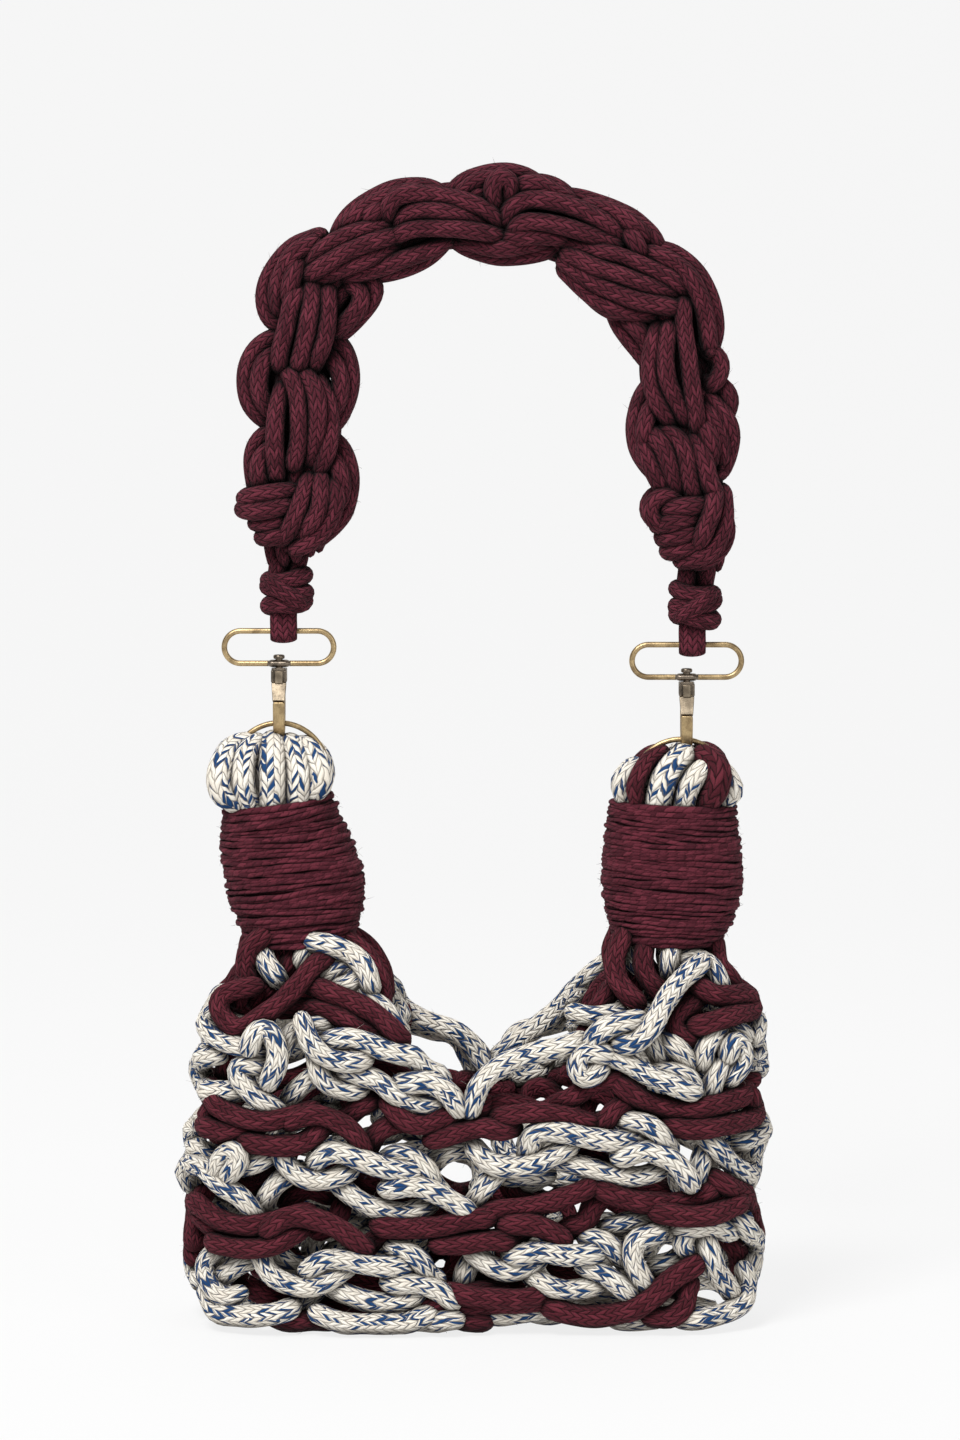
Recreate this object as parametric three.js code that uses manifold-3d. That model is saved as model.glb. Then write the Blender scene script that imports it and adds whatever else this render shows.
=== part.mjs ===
import * as THREE from 'three';
import { mergeVertices } from 'three/addons/utils/BufferGeometryUtils.js';
import Module from 'manifold-3d';

// A crocheted net handbag in two colours of knitted cord, standing on its base with its short
// chain-stitch strap up. Millimetres, +Z up, the front towards -Y, the origin under the middle
// of the whole object on the surface that it stands on.

const wasm = await Module();
wasm.setup();

// Net
const CLEAR = 0.3;            // gap between pieces that touch
const CORD = 10;              // diameter of the knitted cord
const BAG_LENGTH = 238;       // over the widest row, left to right
const BAG_DEPTH = 88;         // over the widest row, front to back
const ROW_SAG = 1.7;          // how far a row dips at each V and lifts between two
const REPEATS = 6;            // Vs round the net
const LINKS = 3;              // chain links in each repeat
const V_SPREAD = 25;          // distance between the two legs of a V at the row
const V_DROP = 8;             // how far a V reaches below the top of the row that it hooks on
const RIM_DIP = 4;            // how far the rim drops at the middle of the front and back
const RIM_DIP_REACH = 26;     // half width of that dip
const FLOOR_RISE = 1;         // height of the floor cords above the ground

// Necks, crowns and yarn wraps
const SHOULDER_RISE = 41;      // from the top of the last row up to the wrap
const WRAP_HEIGHT = 54;
const WRAP_WALL = 3;          // thickness of the wound yarn
const WRAP_DEPTH = 45;        // the wrap's widest, front to back
const CROWN_LOBES = 7;        // folded cords in each crown
const WELL_RADIUS = 10;       // hollow in the crown's top round the hook

// Metal
const RING_INNER = 35.6;      // O-ring, inside diameter
const RING_WIRE = 2.6;
const OVAL_LENGTH = 46;       // flat oval loop, outside
const OVAL_HEIGHT = 15.3;
const OVAL_WIRE = 2.3;
const BOSS_WIDTH = 9;         // swivel boss in the oval's lower bar
const BOSS_HEIGHT = 3;
const BOSS_DEPTH = 5.4;
const POST = 2.9;             // swivel post diameter
const POST_HEAD = 4.6;
const POST_HEAD_HEIGHT = 1.8;
const HOOK_LENGTH = 28.8;     // from the collar's top to the underside of the hook
const HOOK_DEPTH = 15;        // front to back
const HOOK_WIDTH = 4.6;
const COLLAR_WIDTH = 6.2;
const COLLAR_HEIGHT = 5.3;
const GATE_EYE = 1.4;         // radius of the gate round its pivot
const EYE_FLOOR = 25.3;       // from the collar's top down to the inside of the hook

// Strap
const LOOP_WIDTH = 10.8;      // cord that lies flat over the oval's upper bar
const LOOP_THICK = 3.4;
const LOOP_RISE = 7.5;        // from the oval's upper bar to the small knot
const KNOT_WIDTH = 23;
const KNOT_HEIGHT = 17;
const KNOT_DEPTH = 19;
const TAIL_RISE = 10;         // two cords side by side between the small knot and the strap
const STRAP_RISE = 134;       // from the strap's ends to its middle line at the top
const STRAP_WIDTH = 49;       // over a link
const STRAP_DEPTH = 29;

// Places of the two necks and of what they carry: x positions, and how far the ring's middle
// lies above the wrap, how much play the ring has in the hook, and the crown's top and half width.
const SIDES = [
  { side: 'left', neckX: -69.4, wrapTopX: -77.4, ringX: -77.9, ringLift: 13.6, play: 1.5,
    hookX: -77.9, loopX: -76, knotX: -74.8, tailX: -73, crownX: -81, crownTop: 29.5, crownHalf: 25.4,
    inward: 1 },
  { side: 'right', neckX: 76.4, wrapTopX: 80.4, ringX: 82.8, ringLift: 7, play: 0,
    hookX: 85, loopX: 87.2, knotX: 88.2, tailX: 89.2, crownX: 81, crownTop: 23, crownHalf: 26.5,
    inward: -1 },
];

const ROW_HALF = 0.9 * CORD;               // half height of a row at the middle of a link
const LINK_SWELL = 0.12;                   // share by which links swell and necks pinch
const ROW_MEAN = ROW_HALF * (1 - LINK_SWELL);
const ROW_PITCH = 2 * ROW_MEAN + 2 * ROW_SAG + CLEAR;
const BASE_HALF = 0.75 * CORD;
const ROW_A = 2 * BASE_HALF + CLEAR + ROW_SAG + ROW_HALF;
const floorTop = FLOOR_RISE + CORD;
const STATIONS = 2 * REPEATS * LINKS;      // round a row: one at each link and each neck
const HALF_CORD = CORD / 2;

// The rows from the ground up. Length and depth are shares of the bag's, turn shifts the Vs by
// half a repeat on every other row.
const ROWS = [
  { name: 'row_a_cream', colour: 'cream', length: 0.975, depth: 0.93, turn: 0 },
  { name: 'row_b_maroon', colour: 'maroon', length: 0.98, depth: 0.97, turn: 0.5 },
  { name: 'row_c_cream', colour: 'cream', length: 1, depth: 1, turn: 0 },
  { name: 'row_d_maroon', colour: 'maroon', length: 0.955, depth: 0.97, turn: 0.5 },
  { name: 'row_e_cream', colour: 'cream', length: 0.975, depth: 0.95, turn: 0, rim: true },
].map((row, i) => ({ ...row, z: ROW_A + i * ROW_PITCH }));
const BASE = { length: 0.935, depth: 0.86 };

const COLOURS = {
  cream: { color: 0xe4dacb, roughness: 0.95, metalness: 0 },
  maroon: { color: 0x5c2637, roughness: 0.95, metalness: 0 },
  brass: { color: 0x967d50, roughness: 0.38, metalness: 1 },
};

const bag = new THREE.Group();

function v3(x, y, z) {
  return new THREE.Vector3(x, y, z);
}

// Geometry in, closed solid out.
function solid(geometry) {
  const bare = geometry.clone();
  bare.deleteAttribute('normal');
  bare.deleteAttribute('uv');
  const merged = mergeVertices(bare, 1e-4);
  const triVerts = Uint32Array.from(merged.index.array);
  const made = new wasm.Manifold(new wasm.Mesh({
    numProp: 3, vertProperties: Float32Array.from(merged.attributes.position.array), triVerts,
  }));
  if (made.volume() > 0) return made;
  for (let i = 0; i < triVerts.length; i += 3) {
    [triVerts[i], triVerts[i + 1]] = [triVerts[i + 1], triVerts[i]];
  }
  return new wasm.Manifold(new wasm.Mesh({
    numProp: 3, vertProperties: Float32Array.from(merged.attributes.position.array), triVerts,
  }));
}

function join(solids) {
  return solids.reduce((all, one) => all.add(one));
}

// The body of a solid without the crumbs that a cut can leave beside it.
function mainBody(made) {
  return made.decompose().reduce((best, one) => (one.volume() > best.volume() ? one : best));
}

function place(name, colour, made) {
  const mesh = made.getMesh();
  const geometry = new THREE.BufferGeometry();
  const positions = new Float32Array(mesh.numVert * 3);
  for (let i = 0; i < mesh.numVert; i++) {
    for (let k = 0; k < 3; k++) positions[3 * i + k] = mesh.vertProperties[i * mesh.numProp + k];
  }
  geometry.setAttribute('position', new THREE.BufferAttribute(positions, 3));
  geometry.setIndex(new THREE.BufferAttribute(Uint32Array.from(mesh.triVerts), 1));
  geometry.computeVertexNormals();
  const node = new THREE.Mesh(geometry, new THREE.MeshStandardMaterial(COLOURS[colour]));
  node.name = name;
  bag.add(node);
  return node;
}

// A closed ring of sections: the torus grid with each vertex put where at(a, u) says, with a the
// vertex's number in the section and u its share of the way round.
function ringSkin(around, along, at) {
  const geometry = new THREE.TorusGeometry(2, 1, around, along);
  const position = geometry.attributes.position;
  for (let j = 0, k = 0; j <= around; j++) {
    for (let i = 0; i <= along; i++, k++) {
      position.setXYZ(k, ...at(j % around, (i % along) / along).toArray());
    }
  }
  return geometry;
}

// A closed sausage of sections: the sphere grid, whose two poles are the ends.
function rodSkin(around, along, at) {
  const geometry = new THREE.SphereGeometry(1, around, along);
  const position = geometry.attributes.position;
  for (let i = 0, k = 0; i <= along; i++) {
    for (let j = 0; j <= around; j++, k++) {
      position.setXYZ(k, ...at((j % around) / around, i / along).toArray());
    }
  }
  return geometry;
}

function ovalShape(halfX, halfY, sides) {
  const points = [];
  for (let i = 0; i < sides; i++) {
    const angle = (2 * Math.PI * (i + 0.5)) / sides;
    points.push(new THREE.Vector2(halfX * Math.cos(angle), halfY * Math.sin(angle)));
  }
  return new THREE.Shape(points);
}

function tube(points, radius, steps, sides = 6, curve = new THREE.CatmullRomCurve3(points)) {
  return new THREE.ExtrudeGeometry(ovalShape(radius, radius, sides), { steps, extrudePath: curve });
}

function ringTube(points, radius, steps, sides = 6) {
  return new THREE.TubeGeometry(new THREE.CatmullRomCurve3(points, true), steps, radius, sides, true);
}

// Point on a footprint with straight sides and round ends, half length a and half depth b.
// u goes once round from the middle of the front over the right end; out moves the point outwards.
function footprint(a, b, u, out = 0) {
  const straight = a - b;
  const total = 4 * straight + 2 * Math.PI * b;
  let s = (((u % 1) + 1) % 1) * total;
  const sign = s > total / 2 ? -1 : 1;
  if (sign < 0) s = total - s;
  const arc = Math.PI * b;
  let point;
  let normal;
  if (s <= straight) {
    point = v3(s, -b, 0);
    normal = v3(0, -1, 0);
  } else if (s <= straight + arc) {
    const angle = (s - straight) / b - Math.PI / 2;
    normal = v3(Math.cos(angle), Math.sin(angle), 0);
    point = v3(straight + b * normal.x, b * normal.y, 0);
  } else {
    point = v3(2 * straight + arc - s, b, 0);
    normal = v3(0, 1, 0);
  }
  return v3(sign * (point.x + out * normal.x), point.y + out * normal.y, 0);
}

function rowPoint(row, u, out = 0) {
  const a = (row.length * BAG_LENGTH) / 2 - HALF_CORD;
  const b = (row.depth * BAG_DEPTH) / 2 - HALF_CORD;
  return footprint(a, b, u, out);
}

function rimDip(row, u) {
  if (!row.rim) return 0;
  const x = rowPoint(row, u).x / RIM_DIP_REACH;
  return Math.exp(-x * x);
}

// Height of a row's middle line, and half its height there.
function rowZ(row, u) {
  return row.z - ROW_SAG * Math.cos(2 * Math.PI * (REPEATS * u - row.turn)) - RIM_DIP * rimDip(row, u);
}

function rowHalf(row, u) {
  const phase = 2 * Math.PI * LINKS * (REPEATS * u - row.turn);
  const swell = 1 - LINK_SWELL + LINK_SWELL * Math.cos(phase);
  return ROW_HALF * swell * (1 - 0.45 * rimDip(row, u));
}

// A chain row's section: two cords one above the other with a groove between them.
const CHAIN_SECTION = [[0, 1], [1, 0.5], [0.6, 0], [1, -0.5], [0, -1], [-1, -0.5], [-0.6, 0], [-1, 0.5]];
const BASE_SECTION = [[0, 1], [1, 0.45], [0.9, -0.5], [0.5, -1], [-0.5, -1], [-0.9, -0.5], [-1, 0.45]];

function chainBand(row, grow = 0) {
  return ringSkin(CHAIN_SECTION.length, STATIONS, (a, u) => {
    const [out, up] = CHAIN_SECTION[a];
    const point = rowPoint(row, u, out * (HALF_CORD + grow));
    point.z = rowZ(row, u) + up * (rowHalf(row, u) + grow);
    return point;
  });
}

// The two legs of a V: from inside the row down behind the row below, and up again.
function vLegs(row, below, u) {
  const legRadius = 0.4 * CORD;
  const behind = -(HALF_CORD + legRadius + 0.13 * CORD);
  const around = 2 * (rowPoint(row, 0.25).length() + rowPoint(row, 0).length()) * 1.45;
  const half = V_SPREAD / 2 / around;
  const lowTop = below.z + ROW_SAG + ROW_HALF;
  const foot = Math.max(lowTop + legRadius - V_DROP * 1.6, floorTop + legRadius + CLEAR);
  const steps = [[-1, 0.1, 0], [-0.72, 0.9, 0.45], [0, 1, 1], [0.72, 0.9, 0.45], [1, 0.1, 0]];
  const points = steps.map(([side, back, down]) => {
    const point = rowPoint(down === 0 ? row : below, u + side * half, back * behind);
    const own = u + side * half;
    point.z = down === 0 ? rowZ(row, own) - 0.15 * rowHalf(row, own)
      : THREE.MathUtils.lerp(lowTop + legRadius, foot, down);
    return point;
  });
  return tube(points, legRadius, 4, 5);
}

// Rows of the net
const baseRow = { ...BASE, z: BASE_HALF, turn: 0.5 };
const baseBand = solid(ringSkin(BASE_SECTION.length, STATIONS, (a, u) => {
  const [out, up] = BASE_SECTION[a];
  const point = rowPoint(baseRow, u, out * HALF_CORD);
  point.z = BASE_HALF * (1 + up);
  return point;
}));
place('base_maroon', 'maroon', baseBand);

ROWS.forEach((row, i) => {
  const below = i > 0 ? ROWS[i - 1] : { ...baseRow, z: BASE_HALF - 1 };
  const pieces = [solid(chainBand(row))];
  for (let k = 0; k < REPEATS; k++) {
    pieces.push(solid(vLegs(row, below, (k + row.turn) / REPEATS)));
  }
  place(row.name, row.colour, join(pieces));
});

// Floor of the net: an oval cord inside the base row, a cord along the middle and ties between
const floorZ = FLOOR_RISE + HALF_CORD;
const floorRing = [];
for (let i = 0; i < 24; i++) {
  const point = rowPoint(baseRow, i / 24, -(2 * HALF_CORD + CLEAR));
  point.z = floorZ;
  floorRing.push(point);
}
const floorHalf = rowPoint(baseRow, 0.25, -(2 * HALF_CORD + CLEAR)).x;
const floorDepth = rowPoint(baseRow, 0, -(2 * HALF_CORD + CLEAR)).y;
const floorPieces = [solid(ringTube(floorRing, HALF_CORD, 18))];
floorPieces.push(solid(tube([v3(-floorHalf, 0, floorZ), v3(floorHalf, 0, floorZ)], HALF_CORD, 2)));
for (const share of [-0.6, -0.2, 0.2, 0.6]) {
  const x = share * floorHalf;
  floorPieces.push(solid(tube([v3(x, floorDepth, floorZ), v3(x, -floorDepth, floorZ)], 0.8 * HALF_CORD, 1, 5)));
}
place('base_cream', 'cream', join(floorPieces));

// Shoulders: cords from the last row up to the neck, and two rows round them
const rim = ROWS[ROWS.length - 1];
const wrapZ = rim.z + ROW_HALF + SHOULDER_RISE;
const neckHalf = 0.46 * WRAP_DEPTH - WRAP_WALL - HALF_CORD / 2;
// Each cord stands on a link of the rim, counted from the middle of the front, and goes to an
// angle round the neck, counted from the side that faces the middle of the bag.
const SHOULDER_CORDS = [
  { link: 1, head: -24 }, { link: 2, head: -64 }, { link: 3, head: -106 }, { link: 4, head: -152 },
  { link: 5, head: 152 }, { link: 6, head: 106 }, { link: 7, head: 64 }, { link: 8, head: 24 },
];

function shoulderCurve(side, cord) {
  const u = (-side.inward * cord.link) / (LINKS * REPEATS);
  const foot = rowPoint(rim, u);
  foot.z = rowZ(rim, u) + rowHalf(rim, u) + 2 * CLEAR;
  const angle = THREE.MathUtils.degToRad(cord.head);
  const out = v3(side.inward * Math.cos(angle), Math.sin(angle), 0);
  const head = v3(side.neckX, 0, wrapZ - CLEAR).addScaledVector(out, neckHalf);
  const first = foot.clone().add(v3(0, 0, 0.35 * CORD));
  const low = foot.clone().lerp(head, 0.4).addScaledVector(out, 0.45 * CORD);
  const high = foot.clone().lerp(head, 0.75).addScaledVector(out, 0.35 * CORD);
  return new THREE.CatmullRomCurve3([foot, first, low, high, head]);
}

function shoulder(side) {
  const curves = SHOULDER_CORDS.map((cord) => shoulderCurve(side, cord));
  const pieces = curves.map((curve) => solid(tube(null, HALF_CORD, 5, 5, curve)));
  for (const share of [0.36, 0.72]) {
    pieces.push(solid(ringTube(curves.map((curve) => curve.getPoint(share)), 0.9 * HALF_CORD, 10, 5)));
  }
  const cap = new THREE.CylinderGeometry(2 * WRAP_DEPTH, 2 * WRAP_DEPTH, CORD, 12);
  cap.rotateX(Math.PI / 2);
  cap.translate(side.neckX, 0, wrapZ - CLEAR + CORD / 2);
  return mainBody(join(pieces).subtract(solid(cap)));
}

// Wraps of wound yarn: half width by height, as shares of the wrap's height and depth
const WRAP_PROFILE = [[0, 0.5], [0.15, 0.55], [0.42, 0.61], [0.7, 0.615], [0.88, 0.57], [1, 0.5]];
const wrapDepthShare = 0.4;

function wrapAxis(side, share) {
  return v3(side.neckX + (side.wrapTopX - side.neckX) * share, 0, wrapZ + WRAP_HEIGHT * share);
}

function wrap(side) {
  const profile = [...WRAP_PROFILE, ...WRAP_PROFILE.slice().reverse().map((row) => [...row, true])];
  const stations = 2 * CROWN_LOBES;
  return solid(ringSkin(profile.length, stations, (a, u) => {
    const [share, half, inner] = profile[a];
    const angle = 2 * Math.PI * u;
    const reach = half * WRAP_DEPTH - (inner ? WRAP_WALL : 0);
    const depth = (half + wrapDepthShare) / 2 * WRAP_DEPTH - (inner ? WRAP_WALL : 0);
    return wrapAxis(side, share).add(v3(reach * Math.cos(angle), depth * Math.sin(angle), 0));
  })).subtract(ring(side, RING_WIRE / 2 + CLEAR));
}

// The gathered cords inside the wrap and the crown that they fold into over the ring
function bunch(side) {
  const sections = WRAP_PROFILE.map(([share, half]) => ({
    centre: wrapAxis(side, share), lobes: 0,
    x: half * WRAP_DEPTH - WRAP_WALL - 1.5 * CLEAR,
    y: (half + wrapDepthShare) / 2 * WRAP_DEPTH - WRAP_WALL - 1.5 * CLEAR,
  }));
  const top = wrapAxis(side, 1);
  // The crown's sections above the wrap: share of its height, share of its half width, share of
  // the way from the wrap's axis to the crown's, depth of the grooves between its lobes.
  const crown = [[0.1, 0.84, 0.4, 0.05], [0.35, 1, 0.8, 0.09], [0.65, 0.96, 1, 0.13], [0.88, 0.72, 1, 0.16], [1, 0.4, 1, 0.12]];
  for (const [rise, half, across, groove] of crown) {
    sections.push({
      centre: v3(top.x + (side.crownX - top.x) * across, 0, top.z + side.crownTop * rise),
      x: side.crownHalf * half, y: 0.45 * WRAP_DEPTH * half + 1, lobes: groove,
    });
  }
  const last = sections.length - 1;
  const made = solid(rodSkin(2 * CROWN_LOBES, last + 2, (a, t) => {
    const i = Math.round(t * (last + 2)) - 1;
    if (i < 0) return sections[0].centre.clone();
    if (i > last) return sections[last].centre.clone().add(v3(0, 0, -1));
    const { centre, x, y, lobes } = sections[i];
    const ripple = 1 - lobes * (Math.round(a * 2 * CROWN_LOBES) % 2);
    const angle = 2 * Math.PI * a;
    return centre.clone().add(v3(x * ripple * Math.cos(angle), y * ripple * Math.sin(angle), 0));
  }));
  const slot = ring(side, RING_WIRE / 2 + CLEAR);
  const well = new THREE.CylinderGeometry(WELL_RADIUS, WELL_RADIUS, HOOK_LENGTH, 16);
  well.rotateX(Math.PI / 2);
  well.translate(side.hookX, 0, hookTop(side) - HOOK_LENGTH / 2 - 2);
  return mainBody(made.subtract(slot).subtract(solid(well)));
}

// O-ring, standing in the plane of the bag's front
const RING_RADIUS = (RING_INNER + RING_WIRE) / 2;

function ringZ(side) {
  return wrapZ + WRAP_HEIGHT + side.ringLift;
}

function ring(side, radius) {
  const geometry = new THREE.TorusGeometry(RING_RADIUS, radius, 8, 24);
  geometry.rotateX(Math.PI / 2);
  geometry.translate(side.ringX, 0, ringZ(side));
  return solid(geometry);
}

// The collar's top, hung so that the hook's inside holds the ring's wire
function hookTop(side) {
  const across = Math.abs(side.hookX - side.ringX) + HOOK_WIDTH / 2;
  const wireZ = ringZ(side) + Math.sqrt(RING_RADIUS * RING_RADIUS - across * across);
  return wireZ - RING_WIRE / 2 - CLEAR + EYE_FLOOR - side.play;
}

// Snap hook, from the side: y as a share of its depth and z as a share of its length, down from
// the collar's top. The outline runs down the spine at the back and up to the nose in front.
const HOOK_OUTLINE = [
  [-0.2, 0], [0.22, 0], [0.24, -0.184], [0.44, -0.29], [0.53, -0.48], [0.5, -0.69], [0.34, -0.88],
  [0.04, -1], [-0.24, -0.94], [-0.42, -0.79], [-0.47, -0.62],
];
// The nose's tip, which the gate closes on: its outer and its inner corner
const NOSE_TIP = [[-0.46, -0.451], [-0.26, -0.497]];
// The inside above its floor, the same way
const EYE_OUTLINE = [[0.21, -0.8], [0.27, -0.64], [0.27, -0.46], [0.18, -0.335], [0.02, -0.27], [-0.04, -0.235]];

function sidePlate(outline, width) {
  const shape = new THREE.Shape(outline.map(([y, z]) => new THREE.Vector2(y, z)));
  const plate = new THREE.ExtrudeGeometry(shape, { depth: width, bevelEnabled: false });
  plate.translate(0, 0, -width / 2);
  // Shape x to y, shape y to z, depth to x
  plate.applyMatrix4(new THREE.Matrix4().set(0, 0, 1, 0, 1, 0, 0, 0, 0, 1, 0, 0, 0, 0, 0, 1));
  return solid(plate);
}

function scaled(outline) {
  return outline.map(([y, z]) => [y * HOOK_DEPTH, z * HOOK_LENGTH]);
}

function upright(radius, low, high, sides = 12) {
  const rod = new THREE.CylinderGeometry(radius, radius, high - low, sides);
  rod.rotateX(Math.PI / 2);
  rod.translate(0, 0, (low + high) / 2);
  return solid(rod);
}

function hook(side) {
  const eye = [
    [-0.236 * HOOK_DEPTH, -0.66 * HOOK_LENGTH], [-0.2 * HOOK_DEPTH, -0.8 * HOOK_LENGTH],
    [-0.12 * HOOK_DEPTH, -EYE_FLOOR], [0.12 * HOOK_DEPTH, -EYE_FLOOR],
  ];
  const collarLow = [[-0.04 * HOOK_DEPTH, -COLLAR_HEIGHT], [-0.2 * HOOK_DEPTH, -COLLAR_HEIGHT]];
  const body = sidePlate([...scaled(HOOK_OUTLINE), ...scaled(NOSE_TIP), ...eye, ...scaled(EYE_OUTLINE), ...collarLow], HOOK_WIDTH);
  const collar = sidePlate([
    [-0.2 * HOOK_DEPTH, 0], [0.22 * HOOK_DEPTH, 0], [0.24 * HOOK_DEPTH, -COLLAR_HEIGHT], [-0.2 * HOOK_DEPTH, -COLLAR_HEIGHT],
  ], COLLAR_WIDTH);
  const post = upright(POST / 2, -1, BOSS_HEIGHT + 3 * CLEAR);
  const headLow = BOSS_HEIGHT + 2 * CLEAR;
  const head = upright(POST_HEAD / 2, headLow, headLow + POST_HEAD_HEIGHT);
  return join([body, collar, post, head]).translate([side.hookX, 0, hookTop(side)]);
}

// Gate, hinged under the collar: a round eye and a blade whose tip keeps its distance to the
// nose's tip all the way as it swings inwards.
function gate(side) {
  const pivot = new THREE.Vector2(-0.16 * HOOK_DEPTH, -COLLAR_HEIGHT - GATE_EYE - CLEAR);
  const [outer, inner] = scaled(NOSE_TIP).map(([y, z]) => new THREE.Vector2(y, z).sub(pivot));
  const along = inner.clone().sub(outer).normalize();
  const reach = Math.abs(along.cross(outer)) - CLEAR;
  const outline = [15, 65, 115, 165].map((degrees) => {
    const angle = THREE.MathUtils.degToRad(degrees);
    return [pivot.x + GATE_EYE * Math.cos(angle), pivot.y + GATE_EYE * Math.sin(angle)];
  });
  for (const degrees of [36, 24, 12]) {
    const angle = THREE.MathUtils.degToRad(degrees);
    outline.push([pivot.x - reach * Math.sin(angle), pivot.y - reach * Math.cos(angle)]);
  }
  return sidePlate(outline, HOOK_WIDTH - 2 * CLEAR).translate([side.hookX, 0, hookTop(side)]);
}

// Flat oval loop with the swivel boss in its lower bar
function barZ(side) {
  return hookTop(side) + CLEAR + BOSS_HEIGHT / 2;
}

function ovalTopZ(side) {
  return barZ(side) + OVAL_HEIGHT - OVAL_WIRE;
}

function oval(side) {
  const radius = (OVAL_HEIGHT - OVAL_WIRE) / 2;
  const straight = (OVAL_LENGTH - OVAL_WIRE) / 2 - radius;
  const centre = v3(side.hookX, 0, barZ(side) + radius);
  const points = [];
  for (const end of [1, -1]) {
    for (let i = 0; i <= 6; i++) {
      const angle = (Math.PI * (i / 6 - 0.5)) * 1;
      points.push(v3(end * (straight + radius * Math.cos(angle)), 0, end * radius * Math.sin(angle)).add(centre));
    }
  }
  const loop = ringSkin(8, points.length, (a, u) => {
    const i = Math.round(u * points.length);
    const end = i < 7 ? 1 : -1;
    const turn = Math.PI * ((i % 7) / 6 - 0.5);
    const out = v3(end * Math.cos(turn), 0, end * Math.sin(turn));
    const angle = (2 * Math.PI * a) / 8;
    return points[i].clone().addScaledVector(out, (OVAL_WIRE / 2) * Math.cos(angle))
      .add(v3(0, (OVAL_WIRE / 2) * Math.sin(angle), 0));
  });
  const boss = new THREE.CylinderGeometry(BOSS_DEPTH / 2, BOSS_DEPTH / 2, BOSS_HEIGHT, 14);
  boss.rotateX(Math.PI / 2);
  boss.scale(BOSS_WIDTH / BOSS_DEPTH, 1, 1);
  boss.translate(side.hookX, 0, barZ(side));
  const bore = upright(POST / 2 + CLEAR, -BOSS_HEIGHT, BOSS_HEIGHT).translate([side.hookX, 0, barZ(side)]);
  return solid(loop).add(solid(boss)).subtract(bore);
}

// Lower end of the strap: the cord's loop over the oval, the small knot and two cords above it
function strapEndZ(side) {
  return ovalTopZ(side) + LOOP_RISE + KNOT_HEIGHT + TAIL_RISE;
}

function strapEnd(side) {
  const bar = ovalTopZ(side);
  const reach = OVAL_WIRE / 2 + CLEAR + LOOP_THICK / 2;
  const under = [];
  for (let i = 0; i <= 4; i++) {
    const angle = (-Math.PI * i) / 4;
    under.push(v3(side.loopX, -reach * Math.cos(angle), bar + reach * Math.sin(angle)));
  }
  const rise = bar + LOOP_RISE + 0.2 * KNOT_HEIGHT;
  const points = [v3(side.knotX, -reach, rise), v3(side.loopX, -reach * 1.1, bar + 0.5 * LOOP_RISE), ...under,
    v3(side.loopX, reach * 1.1, bar + 0.5 * LOOP_RISE), v3(side.knotX, reach, rise)];
  const strip = new THREE.ExtrudeGeometry(ovalShape(LOOP_THICK / 2, LOOP_WIDTH / 2, 8), {
    steps: 10, extrudePath: new THREE.CatmullRomCurve3(points),
  });
  const knotZ = bar + LOOP_RISE + KNOT_HEIGHT / 2;
  const knot = solid(rodSkin(10, 6, (a, t) => {
    const angle = 2 * Math.PI * a;
    const ring = Math.sin(Math.PI * t);
    const full = Math.min(1, ring * 1.25);
    return v3(side.knotX + (KNOT_WIDTH / 2) * full * Math.cos(angle),
      (KNOT_DEPTH / 2) * full * Math.sin(angle), knotZ + (KNOT_HEIGHT / 2) * Math.cos(Math.PI * t));
  }));
  const tails = [-0.36, 0.36].map((across) => solid(tube([
    v3(side.knotX + across * CORD, 0, knotZ + 0.2 * KNOT_HEIGHT),
    v3(side.tailX + across * CORD, 0, strapEndZ(side) - 0.3 * TAIL_RISE),
    v3(side.tailX + across * CORD, 0, strapEndZ(side) - CLEAR),
  ], 0.42 * CORD, 3, 6)));
  return join([solid(strip), knot, ...tails]);
}

// The strap's middle line: x as a share of the way between its ends, z as a share of its rise
// above them, and half its width there as a share of the full width.
const STRAP_LINE = [
  [0, 0, 0.36], [0, 0.06, 0.47], [0, 0.16, 0.5], [-0.003, 0.331, 0.34], [-0.001, 0.478, 0.5],
  [0.028, 0.612, 0.32], [0.071, 0.757, 0.5], [0.15, 0.85, 0.36], [0.257, 0.96, 0.44],
  [0.382, 0.996, 0.27], [0.522, 1.01, 0.42], [0.659, 0.988, 0.29], [0.766, 0.93, 0.43],
  [0.865, 0.83, 0.32], [0.934, 0.729, 0.45], [0.982, 0.597, 0.32], [0.982, 0.437, 0.44],
  [0.992, 0.28, 0.32], [1, 0.146, 0.43], [1, 0.06, 0.42], [1, 0, 0.34],
];

// A link's section, across and deep: two bundles of cords side by side
const STRAP_SECTION = [[1, 0], [0.72, 0.95], [0, 0.72], [-0.72, 0.95], [-1, 0], [-0.72, -0.95], [0, -0.72], [0.72, -0.95]];

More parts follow.
